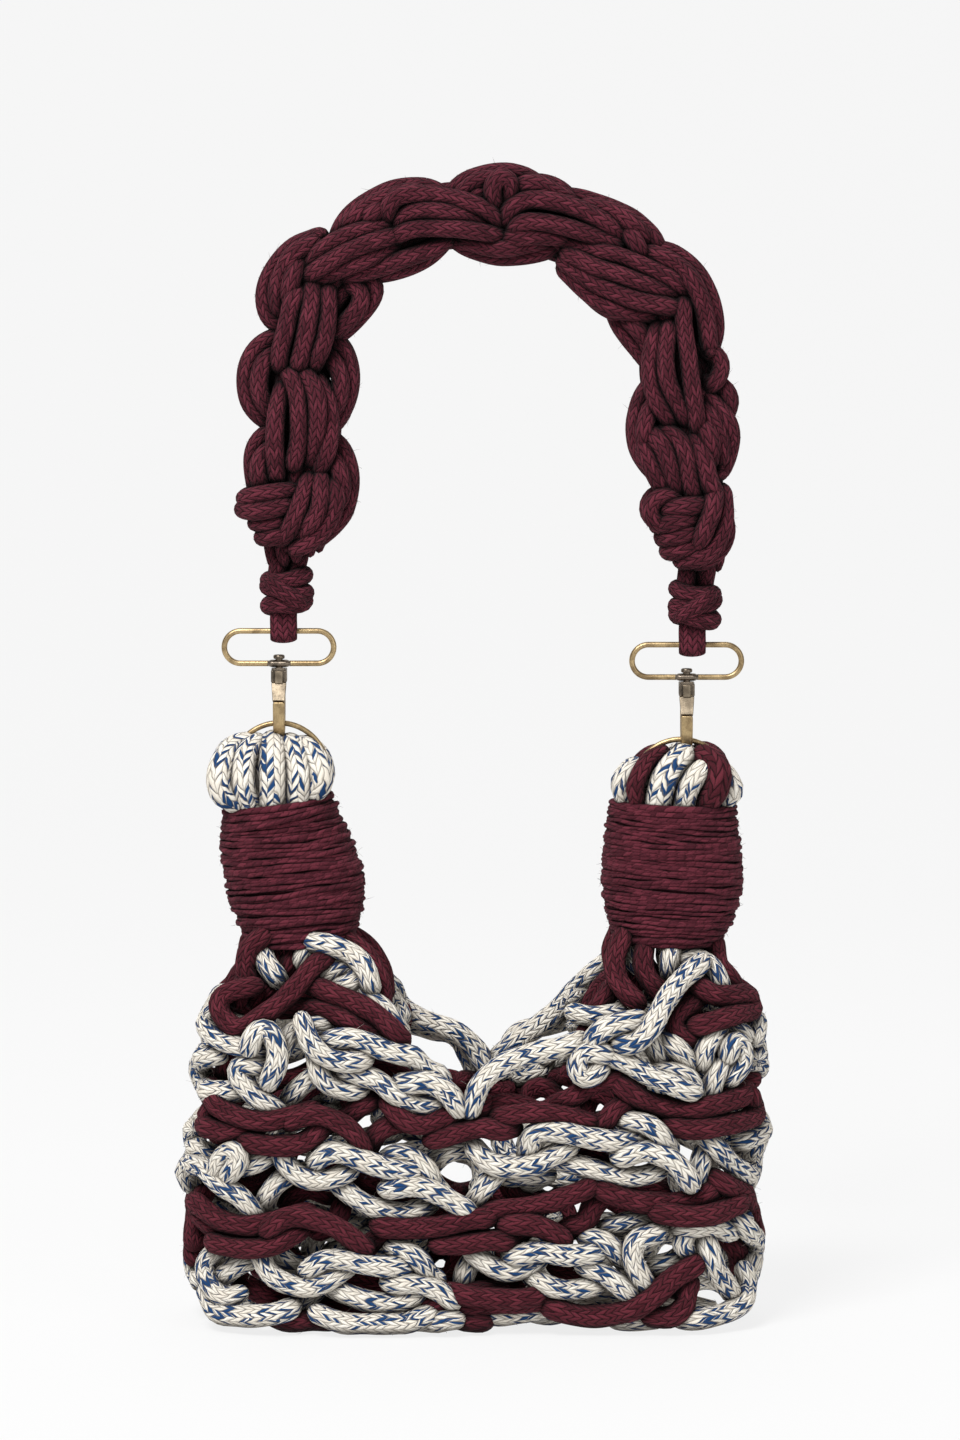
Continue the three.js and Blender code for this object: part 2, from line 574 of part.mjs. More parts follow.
function strap() {
  const ends = SIDES.map((side) => v3(side.tailX, 0, strapEndZ(side)));
  const centres = STRAP_LINE.map(([across, up]) => {
    const point = ends[0].clone().lerp(ends[1], across);
    point.z += up * STRAP_RISE;
    return point;
  });
  const curve = new THREE.CatmullRomCurve3(centres, false, 'centripetal');
  const spans = STRAP_LINE.length - 1;
  const steps = 2 * spans;
  return solid(rodSkin(STRAP_SECTION.length, steps + 2, (a, t) => {
    const i = Math.min(Math.max(Math.round(t * (steps + 2)) - 1, 0), steps);
    const centre = curve.getPoint(i / steps);
    if (t === 0 || t === 1) return centre;
    const tangent = curve.getTangent(i / steps);
    if (i === 0) tangent.set(0, 0, 1);
    if (i === steps) tangent.set(0, 0, -1);
    const out = v3(-tangent.z, 0, tangent.x);
    const low = Math.floor(i / 2);
    const high = Math.min(low + (i % 2), spans);
    const half = (0.5 * (STRAP_LINE[low][2] + STRAP_LINE[high][2]) + (i % 2 ? 0.035 : 0)) * STRAP_WIDTH;
    const [across, deep] = STRAP_SECTION[Math.round(a * STRAP_SECTION.length)];
    const depth = (STRAP_DEPTH / 2) * (0.55 + 0.9 * (half / STRAP_WIDTH));
    return centre.addScaledVector(out, half * across).add(v3(0, depth * deep, 0));
  }));
}

for (const side of SIDES) {
  place(`shoulder_${side.side}`, 'cream', shoulder(side));
  place(`wrap_${side.side}`, 'maroon', wrap(side));
  place(`bunch_${side.side}`, 'cream', bunch(side));
  place(`ring_${side.side}`, 'brass', ring(side, RING_WIRE / 2));
  place(`hook_${side.side}`, 'brass', hook(side));
  place(`gate_${side.side}`, 'brass', gate(side));
  place(`oval_${side.side}`, 'brass', oval(side));
  place(`strap_end_${side.side}`, 'maroon', strapEnd(side));
}
place('strap', 'maroon', strap());

// The middle of the whole object, left to right and front to back, goes to the origin.
const box = new THREE.Box3().setFromObject(bag);
bag.position.set(-(box.min.x + box.max.x) / 2, -(box.min.y + box.max.y) / 2, -box.min.z);
bag.updateMatrixWorld(true);

export default bag;
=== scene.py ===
import math

import bmesh
import bpy
import numpy as np
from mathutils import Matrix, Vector, kdtree


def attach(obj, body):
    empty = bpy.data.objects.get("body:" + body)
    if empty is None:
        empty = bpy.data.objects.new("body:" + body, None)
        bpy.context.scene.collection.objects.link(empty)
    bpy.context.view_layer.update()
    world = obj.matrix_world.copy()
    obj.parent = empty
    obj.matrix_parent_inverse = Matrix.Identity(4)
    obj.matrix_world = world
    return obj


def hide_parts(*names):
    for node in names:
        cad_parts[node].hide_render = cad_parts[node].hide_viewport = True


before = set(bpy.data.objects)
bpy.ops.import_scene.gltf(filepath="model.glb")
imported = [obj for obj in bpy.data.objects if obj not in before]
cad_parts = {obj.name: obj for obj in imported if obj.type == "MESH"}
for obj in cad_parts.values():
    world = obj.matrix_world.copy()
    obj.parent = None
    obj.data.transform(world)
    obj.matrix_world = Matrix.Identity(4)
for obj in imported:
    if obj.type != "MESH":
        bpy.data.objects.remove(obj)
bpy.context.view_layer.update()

# A crocheted net handbag with two yarn-wrapped necks and a chain strap. Tables and shapes are in
# millimetres, with the front towards -Y, and every mesh is turned into metres when it is made.
MM = 0.001
CORD = 4.45                 # radius of the knitted cord
STRAP_CORD = 3.85           # radius of the strap's cord, which is pulled tighter
CROWN_CORD = 5.0            # radius that the crowns' cords keep from one another
YARN = 0.95                 # radius of the wound yarn
LAYER = 8.5                 # from one layer of the net's cords to the next
RIM = 114                   # height of the rim, where the shoulders begin
FULL_TURN = 2 * math.pi

# The camera, and the picture of 960 x 1440 pixels that it takes
PIXEL = 0.4                 # millimetres a pixel in the plane y = 0
MIDDLE = (480, 720)         # pixel in the middle of the picture
TILT = math.radians(5)      # how far it looks down
FAR = 2200.0                # from the camera to the point it looks at
LOOK = (2.4, 0.0, 242.0)    # that point
COS, SIN = math.cos(TILT), math.sin(TILT)
chance = np.random.default_rng(7)    # every random draw comes from here, in a fixed order


def seen_at(px, py, y=0.0):
    """The point at depth y that the camera sees at a pixel."""
    a, b = (px - MIDDLE[0]) * PIXEL, (MIDDLE[1] - py) * PIXEL
    t = (y + FAR * COS) / (FAR * COS + b * SIN)
    return np.array([LOOK[0] + t * a, y, LOOK[2] + FAR * SIN + t * (b * COS - FAR * SIN)])


def picture_of(points):
    """The pixels at which the camera sees these points, and how much smaller than at y = 0."""
    off = points - (np.array(LOOK) + FAR * np.array([0, -COS, SIN]))
    near = FAR / (off[:, 1] * COS - off[:, 2] * SIN)
    up = off[:, 1] * SIN + off[:, 2] * COS
    return MIDDLE[0] + off[:, 0] * near / PIXEL, MIDDLE[1] - up * near / PIXEL, near


def smooth(low, high, value):
    """From 0 at low to 1 at high, without a corner."""
    t = min(max((value - low) / (high - low), 0.0), 1.0)
    return t * t * (3 - 2 * t)


# The net as the front shows it: for each cord its depth in cords behind the surface, then the pixels
# (across, down) it runs through. From a depth of BACK_ONLY on, the cord lies on the net's back.
BACK_ONLY = 5
FRONT = {
    'shoulder_maroon': [
        (0.2, 264, 936, 248, 949, 240, 963, 250, 980, 240, 990, 237, 1000),
        (-0.3, 252, 987, 232, 990, 219, 998, 220, 1012, 230, 1025, 240, 1030, 258, 1019, 280, 1003, 299, 983, 316,
         963, 327, 958),
        (0.6, 277, 941, 273, 960, 283, 975, 291, 963, 296, 941),
        (0.9, 258, 968, 269, 978, 266, 992, 256, 1000),
        (0.8, 326, 933, 348, 940, 366, 955, 378, 976, 382, 1006),
        (0.1, 309, 984, 331, 992, 355, 1002, 376, 1014, 398, 1035),
        (0.3, 283, 1010, 309, 1010, 336, 1015, 358, 1028, 379, 1038, 398, 1041),
        (1.3, 250, 1033, 229, 1054, 224, 1075),
        (0.1, 621, 941, 614, 960, 617, 979, 626, 992, 637, 1003),
        (0.4, 645, 944, 642, 963, 650, 982, 661, 992),
        (0.6, 704, 982, 693, 1003, 674, 1019, 674, 1033, 690, 1038),
        (0.0, 701, 987, 717, 996, 741, 994, 757, 998, 755, 1008, 733, 1015, 709, 1023, 698, 1027),
        (0.7, 714, 944, 725, 963, 733, 987),
        (1.2, 586, 1035, 599, 1008, 610, 992),
    ],
    'shoulder_cream': [
        (0.4, 262, 947, 266, 963, 277, 978),
        (0.2, 315, 940, 307, 947, 301, 960),
        (-0.2, 316, 943, 336, 947, 355, 955, 367, 971, 370, 988),
        (0.3, 323, 983, 331, 971, 344, 964, 358, 970, 355, 983, 341, 988),
        (0.5, 344, 988, 363, 994, 382, 1008, 399, 1033),
        (0.5, 627, 944, 634, 960, 639, 968),
        (0.5, 672, 947, 670, 968),
        (0.2, 680, 963, 696, 959, 712, 967, 721, 990),
        (-0.6, 698, 966, 682, 979, 666, 1000, 653, 1024, 637, 1043, 621, 1046),
        (-0.7, 637, 1022, 618, 1023, 599, 1033, 591, 1049),
        (-0.4, 605, 1054, 589, 1049, 578, 1057, 579, 1075, 591, 1078, 599, 1070),
        (1.0, 578, 1014, 599, 1016, 626, 1011),
    ],
    'e_cream': [
        (-0.2, 218, 1008, 198, 1018, 213, 1035, 234, 1045, 258, 1049),
        (-0.4, 250, 1046, 256, 1030, 269, 1030, 277, 1046, 277, 1065, 269, 1081),
        (0.2, 221, 1054, 199, 1059, 192, 1074, 202, 1089, 218, 1093, 242, 1091),
        (-0.1, 261, 1066, 245, 1062, 236, 1070, 248, 1089, 264, 1102, 278, 1113),
        (0.1, 283, 1049, 291, 1033, 304, 1026, 320, 1027),
        (-0.5, 304, 1027, 309, 1041, 320, 1054, 339, 1062, 360, 1062),
        (-0.2, 331, 1041, 352, 1038, 382, 1049, 406, 1055, 427, 1059, 441, 1081),
        (0.0, 316, 1059, 321, 1078, 336, 1089, 358, 1091),
        (-0.1, 347, 1073, 374, 1078, 398, 1094, 419, 1105, 438, 1102),
        (-0.5, 403, 1086, 424, 1081, 446, 1091, 459, 1108),
        (0.5, 323, 1073, 307, 1081, 293, 1094, 284, 1112),
        (1.2, 366, 1046, 358, 1059, 341, 1070),
        (8.4, 346, 938, 360, 956, 376, 974, 390, 988, 397, 1004, 412, 1016, 434, 1023, 456, 1031, 474, 1046, 486,
         1064),
        (8.4, 634, 938, 622, 950, 610, 962, 596, 972, 578, 988, 560, 1008, 540, 1024, 515, 1042, 497, 1060),
        (0.5, 728, 1024, 744, 1035, 760, 1049),
        (0.9, 747, 1024, 763, 1019, 768, 1027),
        (0.8, 744, 1059, 757, 1062, 769, 1069),
        (0.4, 717, 1033, 706, 1046, 701, 1062),
        (-0.1, 728, 1054, 731, 1041, 740, 1043, 741, 1062, 731, 1078),
        (0.6, 650, 1035, 658, 1049, 661, 1059),
        (0.5, 669, 1041, 682, 1051, 690, 1065),
        (0.2, 658, 1073, 680, 1073, 693, 1083, 696, 1097),
        (0.3, 723, 1062, 714, 1078, 710, 1094),
        (-0.2, 605, 1054, 626, 1062, 648, 1075, 669, 1083, 690, 1091),
        (-0.6, 471, 1108, 481, 1083, 503, 1065, 532, 1054, 556, 1049, 578, 1045),
    ],
    'd_maroon': [
        (0.3, 210, 1091, 205, 1113, 216, 1134),
        (-0.1, 210, 1099, 229, 1113, 258, 1120, 288, 1118, 309, 1113),
        (0.0, 210, 1126, 229, 1132, 250, 1129, 261, 1124),
        (-0.3, 248, 1142, 269, 1145, 296, 1145, 317, 1134, 323, 1124),
        (-0.4, 291, 1120, 315, 1114, 339, 1122, 355, 1134, 362, 1150),
        (0.4, 376, 1099, 360, 1105, 347, 1118, 331, 1124),
        (0.1, 367, 1153, 376, 1134, 392, 1124, 408, 1124),
        (0.0, 390, 1105, 406, 1121, 427, 1124, 454, 1112, 483, 1108),
        (-0.3, 435, 1140, 459, 1132, 486, 1126, 510, 1132),
        (0.2, 444, 1113, 476, 1113, 503, 1105, 540, 1105, 570, 1099, 594, 1083, 618, 1078),
        (-0.3, 500, 1118, 527, 1112, 554, 1114, 575, 1120, 591, 1124),
        (0.2, 615, 1078, 634, 1094, 658, 1105, 690, 1108, 723, 1102, 744, 1094),
        (-0.2, 669, 1128, 696, 1129, 725, 1125, 749, 1118, 760, 1105, 749, 1094),
        (0.2, 599, 1129, 607, 1113, 626, 1105),
        (0.6, 621, 1086, 631, 1102, 653, 1116, 672, 1124),
    ],
    'c_cream': [
        (0.4, 210, 1118, 191, 1120, 186, 1134, 197, 1150, 218, 1161),
        (-0.2, 189, 1184, 178, 1174, 183, 1162, 202, 1166, 224, 1184, 240, 1196, 253, 1213),
        (-0.4, 216, 1174, 224, 1156, 237, 1148, 241, 1158, 229, 1174),
        (0.1, 237, 1169, 253, 1164, 266, 1156, 277, 1153),
        (0.4, 296, 1172, 280, 1180, 269, 1193, 262, 1212),
        (0.1, 280, 1152, 288, 1166, 304, 1177, 328, 1179, 347, 1172),
        (-0.4, 317, 1161, 328, 1152, 347, 1153, 374, 1164, 400, 1173, 416, 1174),
        (0.1, 336, 1183, 352, 1196, 376, 1209, 403, 1213, 427, 1207),
        (0.0, 390, 1158, 403, 1153, 419, 1164, 433, 1180, 441, 1193),
        (-0.5, 390, 1189, 408, 1183, 433, 1191, 451, 1201, 467, 1215),
        (0.8, 433, 1169, 446, 1158, 467, 1148),
        (0.0, 476, 1150, 492, 1164, 519, 1166, 546, 1158, 567, 1148),
        (-0.4, 524, 1145, 535, 1132, 559, 1130, 589, 1137, 618, 1142, 637, 1142),
        (0.1, 559, 1161, 583, 1166, 610, 1174, 637, 1177, 656, 1172),
        (-0.2, 626, 1120, 648, 1124, 661, 1134, 669, 1148),
        (-0.5, 623, 1156, 645, 1150, 666, 1156, 682, 1169, 690, 1183),
        (0.5, 709, 1145, 701, 1161, 698, 1183),
        (0.1, 704, 1137, 717, 1148, 731, 1164, 747, 1174),
        (0.5, 739, 1142, 755, 1134, 772, 1125),
        (0.3, 757, 1137, 761, 1156, 749, 1180),
        (0.1, 498, 1174, 487, 1185, 476, 1199, 472, 1212),
        (1.1, 511, 1177, 530, 1174, 551, 1177, 540, 1184, 524, 1183),
    ],
    'b_maroon': [
        (0.3, 202, 1196, 190, 1215, 187, 1239, 195, 1260),
        (-0.1, 199, 1204, 221, 1220, 253, 1225, 283, 1221, 304, 1215),
        (0.1, 202, 1217, 221, 1233, 248, 1235, 272, 1231),
        (-0.3, 218, 1243, 242, 1248, 272, 1245, 296, 1233),
        (-0.5, 269, 1228, 288, 1217, 315, 1219, 339, 1229, 363, 1248),
        (0.3, 366, 1252, 376, 1239, 398, 1228),
        (-0.1, 384, 1227, 411, 1228, 443, 1225, 465, 1217, 489, 1217),
        (-0.2, 441, 1244, 465, 1243, 489, 1239, 508, 1241),
        (0.9, 341, 1209, 336, 1223, 320, 1231),
        (0.0, 444, 1228, 471, 1223, 492, 1212, 522, 1209, 554, 1201, 589, 1188),
        (0.1, 444, 1241, 476, 1241, 503, 1239, 524, 1231),
        (-0.3, 508, 1225, 532, 1224, 554, 1233, 562, 1241),
        (0.1, 599, 1188, 621, 1196, 648, 1204, 680, 1204, 709, 1191),
        (-0.2, 661, 1212, 690, 1216, 717, 1213, 736, 1204),
        (0.1, 714, 1181, 736, 1191, 752, 1204, 760, 1220, 761, 1236),
        (0.5, 559, 1241, 575, 1223, 594, 1204, 607, 1193),
    ],
    'a_cream': [
        (0.0, 216, 1249, 205, 1263, 210, 1284, 224, 1298, 238, 1295),
        (0.4, 256, 1258, 240, 1263, 226, 1274),
        (-0.1, 261, 1258, 269, 1274, 288, 1284, 312, 1286, 336, 1276, 347, 1268),
        (-0.5, 309, 1271, 323, 1260, 347, 1260, 376, 1266, 406, 1268),
        (-0.1, 328, 1286, 349, 1295, 376, 1303, 406, 1300, 427, 1292),
        (0.5, 315, 1292, 301, 1303, 292, 1319),
        (-0.2, 395, 1249, 411, 1255, 427, 1266, 435, 1279),
        (-0.5, 392, 1284, 411, 1283, 433, 1288, 450, 1300),
        (0.2, 186, 1255, 190, 1271, 199, 1284),
        (1.0, 277, 1255, 291, 1266, 304, 1268),
        (0.3, 476, 1255, 465, 1271, 463, 1290),
        (0.0, 476, 1255, 492, 1266, 514, 1270, 535, 1263),
        (-0.4, 514, 1258, 538, 1251, 567, 1255, 594, 1254),
        (-0.1, 527, 1274, 543, 1284, 567, 1290, 594, 1287),
        (0.0, 589, 1239, 607, 1244, 621, 1260),
        (-0.3, 586, 1267, 605, 1274, 621, 1287, 634, 1300),
        (-0.2, 656, 1235, 637, 1239, 631, 1255, 639, 1274, 650, 1292),
        (0.6, 610, 1228, 637, 1220, 669, 1223, 701, 1231),
        (0.2, 682, 1228, 706, 1225, 731, 1231, 744, 1223),
        (0.0, 733, 1217, 749, 1231, 759, 1247, 753, 1266),
        (0.2, 688, 1231, 680, 1241, 688, 1252),
        (0.1, 706, 1241, 712, 1263, 725, 1284, 731, 1292),
        (0.7, 658, 1266, 669, 1260, 682, 1258),
    ],
    'base_cream': [
        (-0.2, 208, 1295, 216, 1311, 240, 1316, 266, 1315, 288, 1310),
        (-0.5, 320, 1315, 341, 1323, 368, 1329, 398, 1327, 427, 1316),
        (-0.3, 419, 1322, 441, 1319, 454, 1319),
        (-0.1, 744, 1271, 751, 1287, 741, 1303, 723, 1314, 701, 1319, 682, 1320),
        (0.3, 465, 1308, 492, 1316, 522, 1314, 543, 1308),
        (0.4, 618, 1322, 637, 1325, 653, 1322),
    ],
    'base_maroon': [
        (0.2, 277, 1319, 299, 1323, 331, 1325),
        (-0.1, 422, 1308, 449, 1300, 481, 1294, 499, 1295),
        (0.1, 449, 1314, 467, 1322, 483, 1322),
        (-0.1, 449, 1294, 481, 1296, 514, 1298, 540, 1295),
        (0.0, 449, 1306, 487, 1303, 524, 1303, 548, 1298),
        (-0.1, 551, 1306, 575, 1315, 605, 1316, 631, 1308, 653, 1295, 672, 1279, 693, 1266),
        (0.1, 650, 1316, 674, 1316, 690, 1300, 690, 1287),
        (0.9, 658, 1279, 674, 1290, 690, 1292),
    ],
    'dark_maroon': [
        (1.5, 240, 1177, 258, 1188, 272, 1172, 285, 1161),
        (1.6, 288, 1201, 309, 1188, 336, 1199, 358, 1188),
        (1.5, 242, 1282, 264, 1295, 288, 1295, 299, 1279),
        (1.5, 355, 1276, 379, 1282, 398, 1290),
        (1.6, 358, 1183, 379, 1188, 398, 1196),
        (1.5, 320, 1303, 352, 1308, 374, 1311),
        (1.5, 363, 1070, 382, 1070, 403, 1078),
        (1.4, 728, 1239, 739, 1252, 741, 1266),
        (1.4, 581, 1153, 599, 1150, 621, 1157),
        (1.5, 460, 1279, 487, 1282, 514, 1282),
        (1.4, 508, 1180, 514, 1196, 530, 1204),
        (1.5, 559, 1268, 575, 1271, 594, 1276),
        (1.4, 739, 1081, 752, 1078),
    ],
}

# The chain strap the same way, with the depth counted from its front
STRAP = [
    (0.0, 297, 287, 292, 303, 287, 326, 281, 348, 280, 363),
    (-0.15, 312, 287, 310, 312, 305, 339, 299, 364),
    (0.0, 328, 291, 328, 315, 324, 341, 315, 363),
    (0.0, 282, 391, 277, 411, 275, 433, 275, 456, 277, 475),
    (-0.15, 290, 374, 297, 391, 299, 412, 299, 438, 294, 462),
    (-0.1, 304, 373, 314, 388, 318, 405, 317, 432, 312, 458),
    (0.1, 319, 382, 328, 402, 330, 429, 327, 450, 320, 468),
    (0.0, 308, 481, 300, 504, 292, 524, 283, 537),
    (-0.1, 321, 479, 321, 501, 314, 520, 299, 538),
    (0.1, 334, 480, 336, 501, 329, 521, 314, 538, 297, 547),
    (-0.1, 246, 499, 257, 496, 272, 493, 292, 491),
    (-0.1, 245, 508, 259, 511, 275, 508, 292, 505),
    (0.0, 257, 523, 271, 523, 288, 518),
    (0.1, 264, 537, 275, 536, 286, 531),
    (0.9, 275, 333, 254, 343, 242, 361, 239, 381, 243, 403, 255, 417, 270, 424),
    (0.5, 278, 352, 262, 362, 257, 381, 260, 399, 272, 414),
    (0.9, 274, 428, 255, 437, 246, 453, 246, 472, 250, 490),
    (0.5, 274, 445, 260, 456, 256, 471, 260, 488),
    (0.9, 334, 336, 350, 352, 357, 376, 353, 402, 339, 424, 326, 431),
    (0.5, 332, 356, 342, 376, 341, 398, 332, 416),
    (0.9, 330, 434, 348, 449, 357, 474, 354, 502, 341, 525, 318, 543, 297, 552),
    (0.6, 334, 453, 343, 471, 345, 493, 338, 513),
    (0.9, 312, 233, 286, 244, 266, 268, 258, 291, 262, 313, 280, 328),
    (0.5, 318, 240, 295, 251, 281, 272, 275, 293, 281, 311),
    (0.3, 303, 258, 294, 272, 290, 290, 289, 305),
    (0.9, 360, 282, 378, 286, 379, 301, 365, 320, 349, 334, 334, 342),
    (0.5, 348, 284, 362, 292, 361, 307, 350, 321, 336, 332),
    (0.1, 305, 270, 318, 254, 336, 241, 354, 233, 372, 228, 388, 224),
    (-0.15, 310, 275, 326, 264, 345, 253, 364, 245, 381, 239, 394, 236),
    (0.0, 319, 279, 338, 270, 357, 263, 376, 255, 392, 246),
    (0.3, 346, 276, 369, 271, 390, 264, 412, 256, 434, 248, 446, 240),
    (0.9, 362, 281, 388, 279, 410, 274, 430, 264, 444, 250),
    (0.0, 388, 221, 388, 207, 399, 196, 420, 194, 450, 198, 474, 204, 490, 212, 497, 221),
    (-0.1, 399, 225, 404, 214, 421, 210, 443, 211, 467, 216, 489, 225),
    (-0.15, 396, 236, 412, 229, 441, 228, 471, 230, 497, 235),
    (0.9, 330, 238, 345, 211, 365, 195, 390, 183, 414, 180, 436, 185, 451, 198),
    (0.5, 346, 225, 364, 208, 384, 198, 403, 191, 424, 190),
    (0.3, 364, 222, 376, 211, 390, 205),
    (0.9, 443, 200, 460, 178, 482, 168, 506, 166, 528, 171, 548, 184),
    (0.5, 455, 200, 473, 183, 491, 177, 508, 178),
    (0.3, 468, 203, 481, 192, 493, 187),
    (0.0, 498, 209, 492, 195, 494, 181, 505, 176, 511, 186, 508, 200),
    (0.4, 514, 190, 530, 182, 549, 189, 568, 199),
    (0.8, 520, 178, 542, 176, 562, 184, 574, 195),
    (0.0, 506, 220, 512, 206, 534, 199, 560, 203, 586, 212, 607, 224, 622, 238),
    (-0.15, 513, 234, 521, 223, 542, 222, 567, 227, 591, 235, 616, 245),
    (0.3, 505, 240, 523, 236, 547, 236, 566, 238),
    (0.9, 448, 240, 468, 254, 496, 263, 523, 262, 548, 255, 566, 243),
    (0.5, 465, 243, 495, 250, 521, 247, 547, 243),
    (0.9, 565, 190, 592, 195, 617, 203, 640, 216, 655, 231, 663, 247),
    (0.5, 585, 204, 610, 209, 631, 221, 646, 238),
    (0.3, 628, 231, 634, 240, 640, 252),
    (0.1, 566, 242, 590, 249, 617, 255, 644, 266, 670, 278, 685, 290),
    (-0.15, 569, 254, 592, 266, 618, 274, 644, 284, 671, 292),
    (-0.05, 567, 263, 590, 280, 613, 291, 636, 300, 661, 305, 675, 308),
    (0.5, 566, 272, 583, 290, 601, 304, 622, 312, 650, 315),
    (0.9, 560, 258, 567, 276, 582, 296, 601, 312, 622, 321),
    (0.9, 655, 243, 682, 251, 702, 268, 714, 289, 720, 308, 722, 328, 718, 345),
    (0.4, 648, 252, 668, 259, 686, 273, 698, 291, 705, 311, 708, 331, 709, 348),
    (0.0, 682, 304, 684, 328, 688, 354, 691, 381, 695, 408, 698, 431),
    (-0.1, 668, 328, 665, 354, 667, 378, 674, 396, 687, 420),
    (0.1, 657, 328, 651, 354, 651, 381, 657, 402, 668, 420),
    (0.9, 609, 314, 620, 337, 634, 353, 648, 368),
    (0.6, 624, 320, 639, 335, 650, 354),
    (0.9, 651, 380, 636, 398, 630, 421, 631, 443, 640, 464, 656, 480),
    (0.5, 657, 397, 646, 415, 642, 434, 646, 450),
    (0.8, 711, 348, 723, 354, 728, 366, 723, 379, 711, 388),
    (0.8, 717, 382, 731, 387, 737, 400, 732, 415),
    (0.9, 704, 390, 720, 402, 733, 419, 738, 437, 734, 455, 727, 470),
    (0.5, 704, 407, 715, 422, 723, 440, 722, 460),
    (0.2, 703, 424, 711, 440, 711, 458),
    (0.1, 644, 446, 651, 465, 660, 482, 667, 495),
    (-0.05, 649, 432, 664, 449, 670, 469, 677, 492),
    (-0.05, 666, 432, 680, 441, 687, 461, 690, 481, 695, 499),
    (0.0, 695, 441, 704, 459, 708, 478, 714, 494),
    (0.0, 676, 497, 660, 496, 650, 508, 654, 521, 670, 523),
    (-0.15, 660, 511, 680, 508, 705, 505),
    (-0.15, 660, 525, 678, 521, 701, 516),
    (-0.1, 665, 538, 682, 535, 699, 529),
    (0.1, 671, 551, 685, 548, 699, 541),
    (-0.15, 714, 492, 712, 511, 705, 529, 696, 546),
    (0.2, 722, 495, 725, 518, 719, 539, 705, 555, 685, 560),
    (0.8, 727, 508, 733, 530, 726, 549, 708, 563, 690, 566),
]


NECK = 158                  # height where the shoulders have become necks
NET_HALF, NECK_HALF = 36, 16    # half depth between the cords' middles, below and there
NET_DEEPEST = 40            # half depth that no cord's middle goes past
STRAIGHT, ROUND_END = 78, 36.5  # half length of the straight part, and reach of the round end past it


def net_surface(x, z):
    """How far the net's cords lie from the middle plane, at rest in the front or the back."""
    up = smooth(RIM, NECK, z)
    past = min(max(abs(x) - STRAIGHT, 0) / ROUND_END, 1)
    inner = min(up * max(45 - abs(x), 0) / 22, 1)
    return (NET_HALF + (NECK_HALF - NET_HALF) * up) * math.sqrt(1 - past ** 2) * math.sqrt(1 - inner ** 2)


def pixels_of(line):
    """A flat row of numbers as pixels (across, down)."""
    return list(zip(line[::2], line[1::2]))


def dive(points, on, behind):
    """The same points with both ends led on and in behind what covers them."""
    first, last = points[0], points[-1]
    start = first + on * unit(first - points[1]) + np.array([0, behind, 0])
    end = last + on * unit(last - points[-2]) + np.array([0, behind, 0])
    return [start] + points + [end]


def net_run(depth, *line):
    """One cord of the net, laid on the net's surface at its depth."""
    points = []
    for px, py in pixels_of(line):
        y = -30.0
        for _ in range(4):
            x, _, z = seen_at(px, py, y)
            y = -net_surface(x, z) + depth * LAYER if depth < BACK_ONLY else net_surface(x, z)
        points.append(seen_at(px, py, y))
    return resample(dive(points, 3.5, 7.0), 2.2)


def unit(v):
    """The same direction with length 1."""
    return v / max(np.linalg.norm(v), 1e-9)


def resample(points, step, closed=False):
    """Even points along the smooth line through these points."""
    p = np.array(points, float)
    if closed:
        q = np.vstack([p[-1], p, p[0], p[1]])
    else:
        q = np.vstack([2 * p[0] - p[1], p, 2 * p[-1] - p[-2]])
    fine = []
    for i in range(1, len(q) - 2):
        for t in np.linspace(0, 1, 12, endpoint=False):
            a, b, c, d = q[i - 1], q[i], q[i + 1], q[i + 2]
            fine.append(0.5 * (2 * b + (c - a) * t + (2 * a - 5 * b + 4 * c - d) * t * t
                               + (3 * b - a - 3 * c + d) * t ** 3))
    fine.append(q[-2])
    fine = np.array(fine)
    run = np.concatenate([[0], np.cumsum(np.linalg.norm(np.diff(fine, axis=0), axis=1))])
    count = max(int(round(run[-1] / step)), 4)
    at = np.linspace(0, run[-1], count + 1)
    out = np.stack([np.interp(at, run, fine[:, k]) for k in range(3)], axis=1)
    return out[:-1] if closed else out


SQUASH = 0.82               # share of its radius that a cord keeps where it is pressed
BACKWARDS = 3.2             # how much more cords give way to the back than across or up
OWN_POINTS = 9              # neighbours on the same cord that don't push one another


